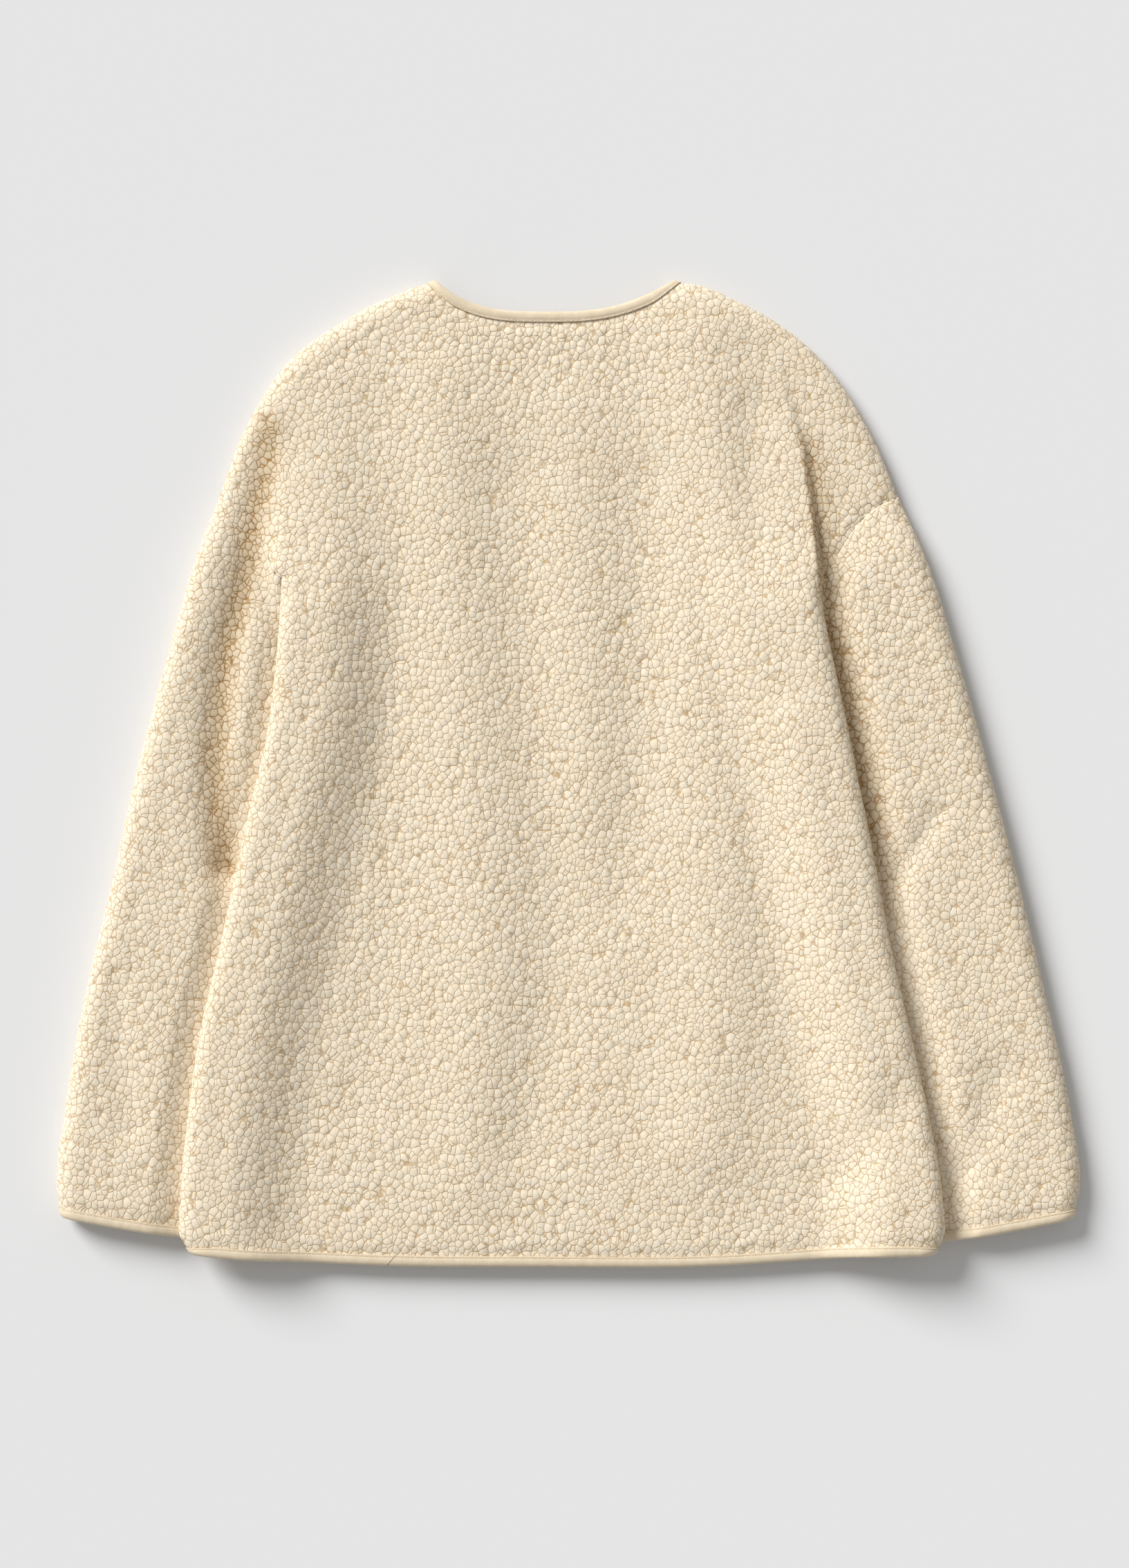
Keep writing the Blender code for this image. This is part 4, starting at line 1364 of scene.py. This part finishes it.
@dataclass
class Binding:
    """A strip folded over a raw edge, with a row of stitches through it."""

    name: str
    finish: KnitStrip = KnitStrip()
    depth: float = 0.0062
    half: float = 0.0025
    lip: float = 0.0014
    clear: float = 0.0003
    pressed_depth: float = 0.0082
    stitch_depth: float = 0.0051
    groove: float = 0.00045
    spacing: float = 0.0011
    stitch_pitch: float = 0.0015
    stitch_long: float = 0.00105
    stitch_radius: float = 0.00020
    unevenness: float = 0.00012
    waves: tuple[tuple[int, float, float], ...] = ((11, 0.5, 0.4), (23, 0.35, 2.1), (41, 0.25, 4.0))
    wall: float = 0.0011
    middle: Points = field(init=False, repr=False)
    into: Points = field(init=False, repr=False)
    normal: Points = field(init=False, repr=False)
    leg_normal: Points = field(init=False, repr=False)

    def follow(self, rim: Rim) -> None:
        """Lays the strip's middle line along a raw edge at even steps.

        Args:
            rim: The closed raw edge, with the row where the strip ends.
        """
        middle = (rim.edge_outer + rim.edge_inner) / 2
        further = (rim.next_outer + rim.next_inner) / 2
        normal = unit(rim.edge_outer - rim.edge_inner)
        next_normal = unit(rim.next_outer - rim.next_inner)
        into = unit(further - middle)
        leg_normal = unit(normal + (next_normal - normal) * self.depth / self.pressed_depth)
        ring = np.concatenate([middle, middle[:1]])
        travelled = lengths_along(ring)
        steps = int(round(travelled[-1] / self.spacing))
        at = np.linspace(0.0, travelled[-1], steps, endpoint=False)
        self.middle, *directions = (
            np.stack(
                [np.interp(at, travelled, np.append(column, column[0])) for column in values.T], axis=1
            )
            for values in (middle, into, normal, leg_normal)
        )
        self.into, self.normal, self.leg_normal = map(unit, directions)

    def _side_profile(self) -> list[tuple[float, float]]:
        """Depth and height of one outer side of the strip, from its inner end to its fold.

        Returns:
            The corners of that side.
        """
        top, groove = self.half, self.half - self.groove
        return [
            (self.depth, self.half - 0.0007),
            (self.depth, top - 0.0002),
            (self.depth - 0.0004, top - 0.0001),
            (self.stitch_depth + 0.0006, top - 0.0001),
            (self.stitch_depth, groove),
            (self.stitch_depth - 0.0007, top - 0.00005),
            (self.stitch_depth - 0.0020, top + 0.00015),
            (0.0020, top + 0.00015),
            (0.0004, top - 0.0001),
            (-0.0006, top - 0.0008),
            (-0.0012, top - 0.0017),
        ]

    def _ring(self, depth: float, height: float, waves: Points) -> Points:
        """One line of the strip all round, at a depth in from the raw edge and a height.

        Args:
            depth: How far in it lies.
            height: How far out of the cloth's middle.
            waves: Share by which the height is uneven at each point.

        Returns:
            The line.
        """
        share = np.clip(depth / self.pressed_depth, 0.0, 1.0)
        normal = unit(self.normal + (self.leg_normal - self.normal) * share)
        return self.middle + depth * self.into + height * (1.0 + waves[:, None]) * normal

    def build(self) -> bpy.types.Object:
        """Builds the strip as a closed band with a hollow for the cloth's edge.

        Returns:
            The strip.
        """
        upper = self._side_profile()
        profile = [*upper, (-self.lip, 0.0), *[(depth, -height) for depth, height in upper[::-1]]]
        hollow = self.half - self.wall
        profile += [(-self.clear, -hollow), (-self.clear, hollow)]
        travelled = np.arange(len(self.middle)) * self.spacing
        whole = travelled[-1] + self.spacing
        waves = np.zeros(len(travelled))
        for count, size, turn in self.waves:
            waves += size * np.sin(2 * math.pi * count * travelled / whole + turn)
        waves *= self.unevenness / self.half
        rings = np.stack([self._ring(depth, height, waves) for depth, height in profile], axis=1)
        numbers = np.arange(rings.shape[0] * rings.shape[1]).reshape(rings.shape[:2])
        numbers = np.vstack([numbers, numbers[:1]])
        numbers = np.hstack([numbers, numbers[:, :1]])
        piece = mesh_piece(self.name, rings.reshape(-1, 3), grid_faces(numbers))
        around = lengths_along(np.array([*profile, profile[0]]))[:-1]
        strip = np.stack(np.broadcast_arrays(travelled[:, None], around[None], 0.0), axis=-1)
        add_attribute(piece, STRIP_PLACE, "FLOAT_VECTOR", strip.reshape(-1, 3))
        piece.data.materials.append(self.finish.material(self.name.replace("_", " ")))
        return piece

    def stitches(self, thread: bpy.types.Material) -> bpy.types.Object:
        """Sews a row of stitches through both sides of the strip.

        Args:
            thread: The finish of the thread.

        Returns:
            The stitches as one mesh.
        """
        count = int(len(self.middle) * self.spacing / self.stitch_pitch)
        at = (np.arange(count) * len(self.middle) / count).astype(int)
        along = unit(np.roll(self.middle, -1, axis=0) - np.roll(self.middle, 1, axis=0))
        shape = stitch_shape(self.stitch_long, self.stitch_radius)
        points, faces = [], []
        for sign in (1.0, -1.0):
            height = sign * (self.half - self.groove + self.stitch_radius)
            line = self._ring(self.stitch_depth, height, np.zeros(len(self.middle)))
            for k in at:
                axes = np.stack([along[k], self.into[k], self.leg_normal[k]])
                first = len(points) * len(shape[0])
                faces += [tuple(corner + first for corner in face) for face in shape[1]]
                points.append(line[k] + shape[0] @ axes)
        piece = mesh_piece(self.name.replace("binding", "stitches"), np.concatenate(points), faces)
        piece.data.materials.append(thread)
        return piece


def stitch_shape(long: float, radius: float, sides: int = 6) -> tuple[Points, list[tuple[int, ...]]]:
    """One stitch: a short length of thread that bends into the cloth at its ends.

    Args:
        long: Its length along X.
        radius: The thread's radius.
        sides: How many sides the thread has.

    Returns:
        Its points, and the point numbers of each face.
    """
    turns = np.arange(sides) * 2 * math.pi / sides
    half = ((-0.5, 0.35, -0.9), (-0.32, 0.95, -0.1))
    stations = (*half, (0.0, 1.0, 0.25), *[(-along, *rest) for along, *rest in half[::-1]])
    points = [
        (share * long, scale * radius * math.cos(turn), radius * (drop + scale * math.sin(turn)))
        for share, scale, drop in stations
        for turn in turns
    ]
    grid = np.arange(len(points)).reshape(len(stations), sides)
    faces = grid_faces(np.hstack([grid, grid[:, :1]]))
    faces += [grid[0].tolist(), grid[-1].tolist()]
    return np.array(points), [tuple(face) for face in faces]


def closed_rim(back: Rim, front: Rim) -> Rim:
    """Joins the back's raw edge and the front's into one closed edge, met at the seams.

    Args:
        back: The back's edge.
        front: The front's, with as many points.

    Returns:
        The closed edge.
    """
    lines = []
    for over, under in zip(back, front):
        ends = (over[[0, -1]] + under[[0, -1]]) / 2
        lines.append(np.concatenate([ends[:1], over[1:-1], ends[1:], under[-2:0:-1]]))
    return Rim(*lines)


@dataclass
class CrewNeckTop:
    """The whole top: two panels, two sleeves and four bindings."""

    form: BodyForm = field(default_factory=BodyForm)
    pile: TeddyPile = TeddyPile()
    thread: Thread = Thread()
    hem_join_at: float = 0.1465
    sleeve_rise_starts: dict[Side, float] = field(
        default_factory=lambda: {Side.LEFT: 0.0, Side.RIGHT: 0.0060}
    )
    sleeve_folds: dict[Side, tuple[Fold, ...]] = field(
        default_factory=lambda: {
            Side.LEFT: (
                Fold(-0.0070, 0.014, ((-0.2227, 0.169), (-0.2305, 0.128), (-0.2423, 0.0845),
                                      (-0.2477, 0.034), (-0.2487, -0.015), (-0.2452, -0.064))),
                Fold(-0.0020, 0.014, ((-0.322, -0.152), (-0.312, -0.250))),
            ),
            Side.RIGHT: (
                Fold(-0.0025, 0.010, ((0.234, -0.074), (0.2585, -0.030))),
                Fold(-0.0030, 0.016, ((0.303, -0.216), (0.283, -0.280))),
            ),
        }
    )

    def build(self) -> None:
        """Builds every piece, dresses it, attaches it to the body and hides the model's part that it
        stands for.
        """
        fleece = self.pile.material()
        thread = self.thread.material()
        back = Panel("back", ("back_panel",), cut=(0.545, 0.705), area=0.305, form=self.form)
        front = Panel(
            "front", ("front_panel",), cut=(0.545, 0.685), area=0.300, form=self.form, face=Face.FRONT,
            column_steps=136, seam_steps=112, armhole_steps=24, shoulder_steps=32,
        )
        back.shape()
        front.shape()
        bound = self.form.cloth.edge_steps // 2
        hem_rim = closed_rim(back.rim(0, bound), self._matched(back, front, 0, bound))
        neck_rim = closed_rim(back.rim(-1, -1 - bound), self._matched(back, front, -1, -1 - bound))
        hem = self._bind("hem_binding", hem_rim, thread, KnitStrip(join_at=self.hem_join_at))
        neck = self._bind("neck_binding", neck_rim, thread, KnitStrip())
        self._cover(back, False, fleece)
        self._cover(front, False, fleece)
        for side in Side:
            sleeve = Sleeve(
                side.word + "_arm", (side.word + "_sleeve",), cut=(0.270, 0.530), area=0.118,
                form=self.form, side=side, folds=self.sleeve_folds[side],
                rise_starts=self.sleeve_rise_starts[side],
            )
            sleeve.shape()
            rim = sleeve.rim(-1, -1 - bound)
            cuff = self._bind(side.word + "_cuff_binding", rim, thread, KnitStrip())
            self._cover(sleeve, True, fleece)

    def _matched(self, back: Panel, front: Panel, row: int, inward: int) -> Rim:
        """The front's raw edge with as many points as the back's."""
        shares = np.linspace(0.0, 1.0, back.outer.shape[1])
        return Rim(*(place(line, shares) for line in front.rim(row, inward)))

    def _bind(
        self, name: str, rim: Rim, thread: bpy.types.Material, finish: KnitStrip
    ) -> list[bpy.types.Object]:
        """Sews a binding onto a raw edge.

        Args:
            name: The name of the strip and of the node that it stands for.
            rim: The closed raw edge.
            thread: The finish of its stitches.
            finish: The finish of the strip.

        Returns:
            The strip and its stitches.
        """
        binding = Binding(name, finish)
        binding.follow(rim)
        strip = binding.build()
        strip.name = name + "_strip"
        stitches = binding.stitches(thread)
        for piece in (strip, stitches):
            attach(piece, BODY)
        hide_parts(name)
        counts = [len(piece.data.polygons) for piece in (strip, stitches)]
        log.info("%s: %d faces, %d in its stitches", name, *counts)
        return [strip, stitches]

    def _cover(
        self, piece: ClothPiece, closed: bool, fleece: bpy.types.Material
    ) -> None:
        """Builds a piece of fleece, raises its pile, attaches it to the body and hides the model's part
        that it stands for.

        Args:
            piece: The piece, with its form worked out.
            closed: Whether it is a tube.
            fleece: Its finish.
        """
        shell = piece.shell(closed)
        self.pile.raise_clumps(shell)
        shell.data.materials.append(fleece)
        piece.declare(shell)
        log.info("%s: %d faces", piece.name, len(shell.data.polygons))


@dataclass(frozen=True)
class Studio:
    """The surface that the top lies on, its light and the camera above it."""

    floor_size: float = 12.0
    floor_colour: Colour = (0.811, 0.811, 0.811, 1.0)
    floor_level: float = -0.0003
    key_strength: float = 3.742
    key_elevation: float = 30.0
    key_heading: float = 135.0
    key_angle: float = 28.0
    key_distance: float = 3.0
    fill: float = 0.37
    backdrop: Colour = (0.785, 0.785, 0.785, 1.0)
    camera_height: float = 2.5
    camera_aim: tuple[float, float, float] = (-0.0030, -0.0076, 0.0150)
    frame_long_side: float = 1.1113
    sensor: float = 36.0

    def floor(self) -> None:
        """Lays the plain pale surface."""
        half = self.floor_size / 2
        signs = ((-1, -1), (1, -1), (1, 1), (-1, 1))
        corners = np.array([(x * half, y * half, self.floor_level) for x, y in signs])
        floor = mesh_piece("floor", corners, [(0, 1, 2, 3)])
        material, _ = new_material(
            "floor", Base_Color=self.floor_colour, Roughness=1.0, Specular_IOR_Level=0.0
        )
        floor.data.materials.append(material)

    def lights(self) -> None:
        """Hangs the soft key light and sets the fill."""
        lamp = bpy.data.lights.new("key", "SUN")
        lamp.energy = self.key_strength
        lamp.angle = math.radians(self.key_angle)
        key = bpy.data.objects.new("key", lamp)
        elevation, heading = math.radians(self.key_elevation), math.radians(self.key_heading)
        towards = Vector((
            math.cos(elevation) * math.cos(heading),
            math.cos(elevation) * math.sin(heading),
            math.sin(elevation),
        ))
        key.rotation_euler = towards.to_track_quat("Z", "Y").to_euler()
        key.location = towards * self.key_distance
        bpy.context.scene.collection.objects.link(key)
        world = bpy.data.worlds.new("studio")
        world.use_nodes = True
        graph = Graph(world.node_tree)
        background = world.node_tree.nodes["Background"]
        background.inputs["Color"].default_value = (1.0, 1.0, 1.0, 1.0)
        background.inputs["Strength"].default_value = self.fill
        seen = graph.node("ShaderNodeBackground", {"Color": self.backdrop})
        path = graph.node("ShaderNodeLightPath")
        mixed = graph.node(
            "ShaderNodeMixShader",
            {0: path.outputs["Is Camera Ray"], 1: background.outputs[0], 2: seen.outputs[0]},
        )
        world.node_tree.links.new(mixed.outputs[0], world.node_tree.nodes["World Output"].inputs[0])
        bpy.context.scene.world = world
        bpy.context.scene.view_settings.view_transform = "Standard"

    def camera(self) -> None:
        """Sets the camera straight above the top."""
        data = bpy.data.cameras.new("camera")
        data.sensor_width = self.sensor
        data.lens = self.sensor * (self.camera_height - self.camera_aim[2]) / self.frame_long_side
        camera = bpy.data.objects.new("camera", data)
        camera.location = (self.camera_aim[0], self.camera_aim[1], self.camera_height)
        bpy.context.scene.collection.objects.link(camera)
        bpy.context.scene.camera = camera

    def set_up(self) -> None:
        """Lays the floor, hangs the lights and sets the camera."""
        self.floor()
        self.lights()
        self.camera()


def main() -> None:
    """Builds the top and its studio."""
    logging.basicConfig(level=logging.INFO, format="%(name)s: %(message)s")
    Studio().set_up()
    CrewNeckTop().build()


if __name__ == "__main__":
    main()
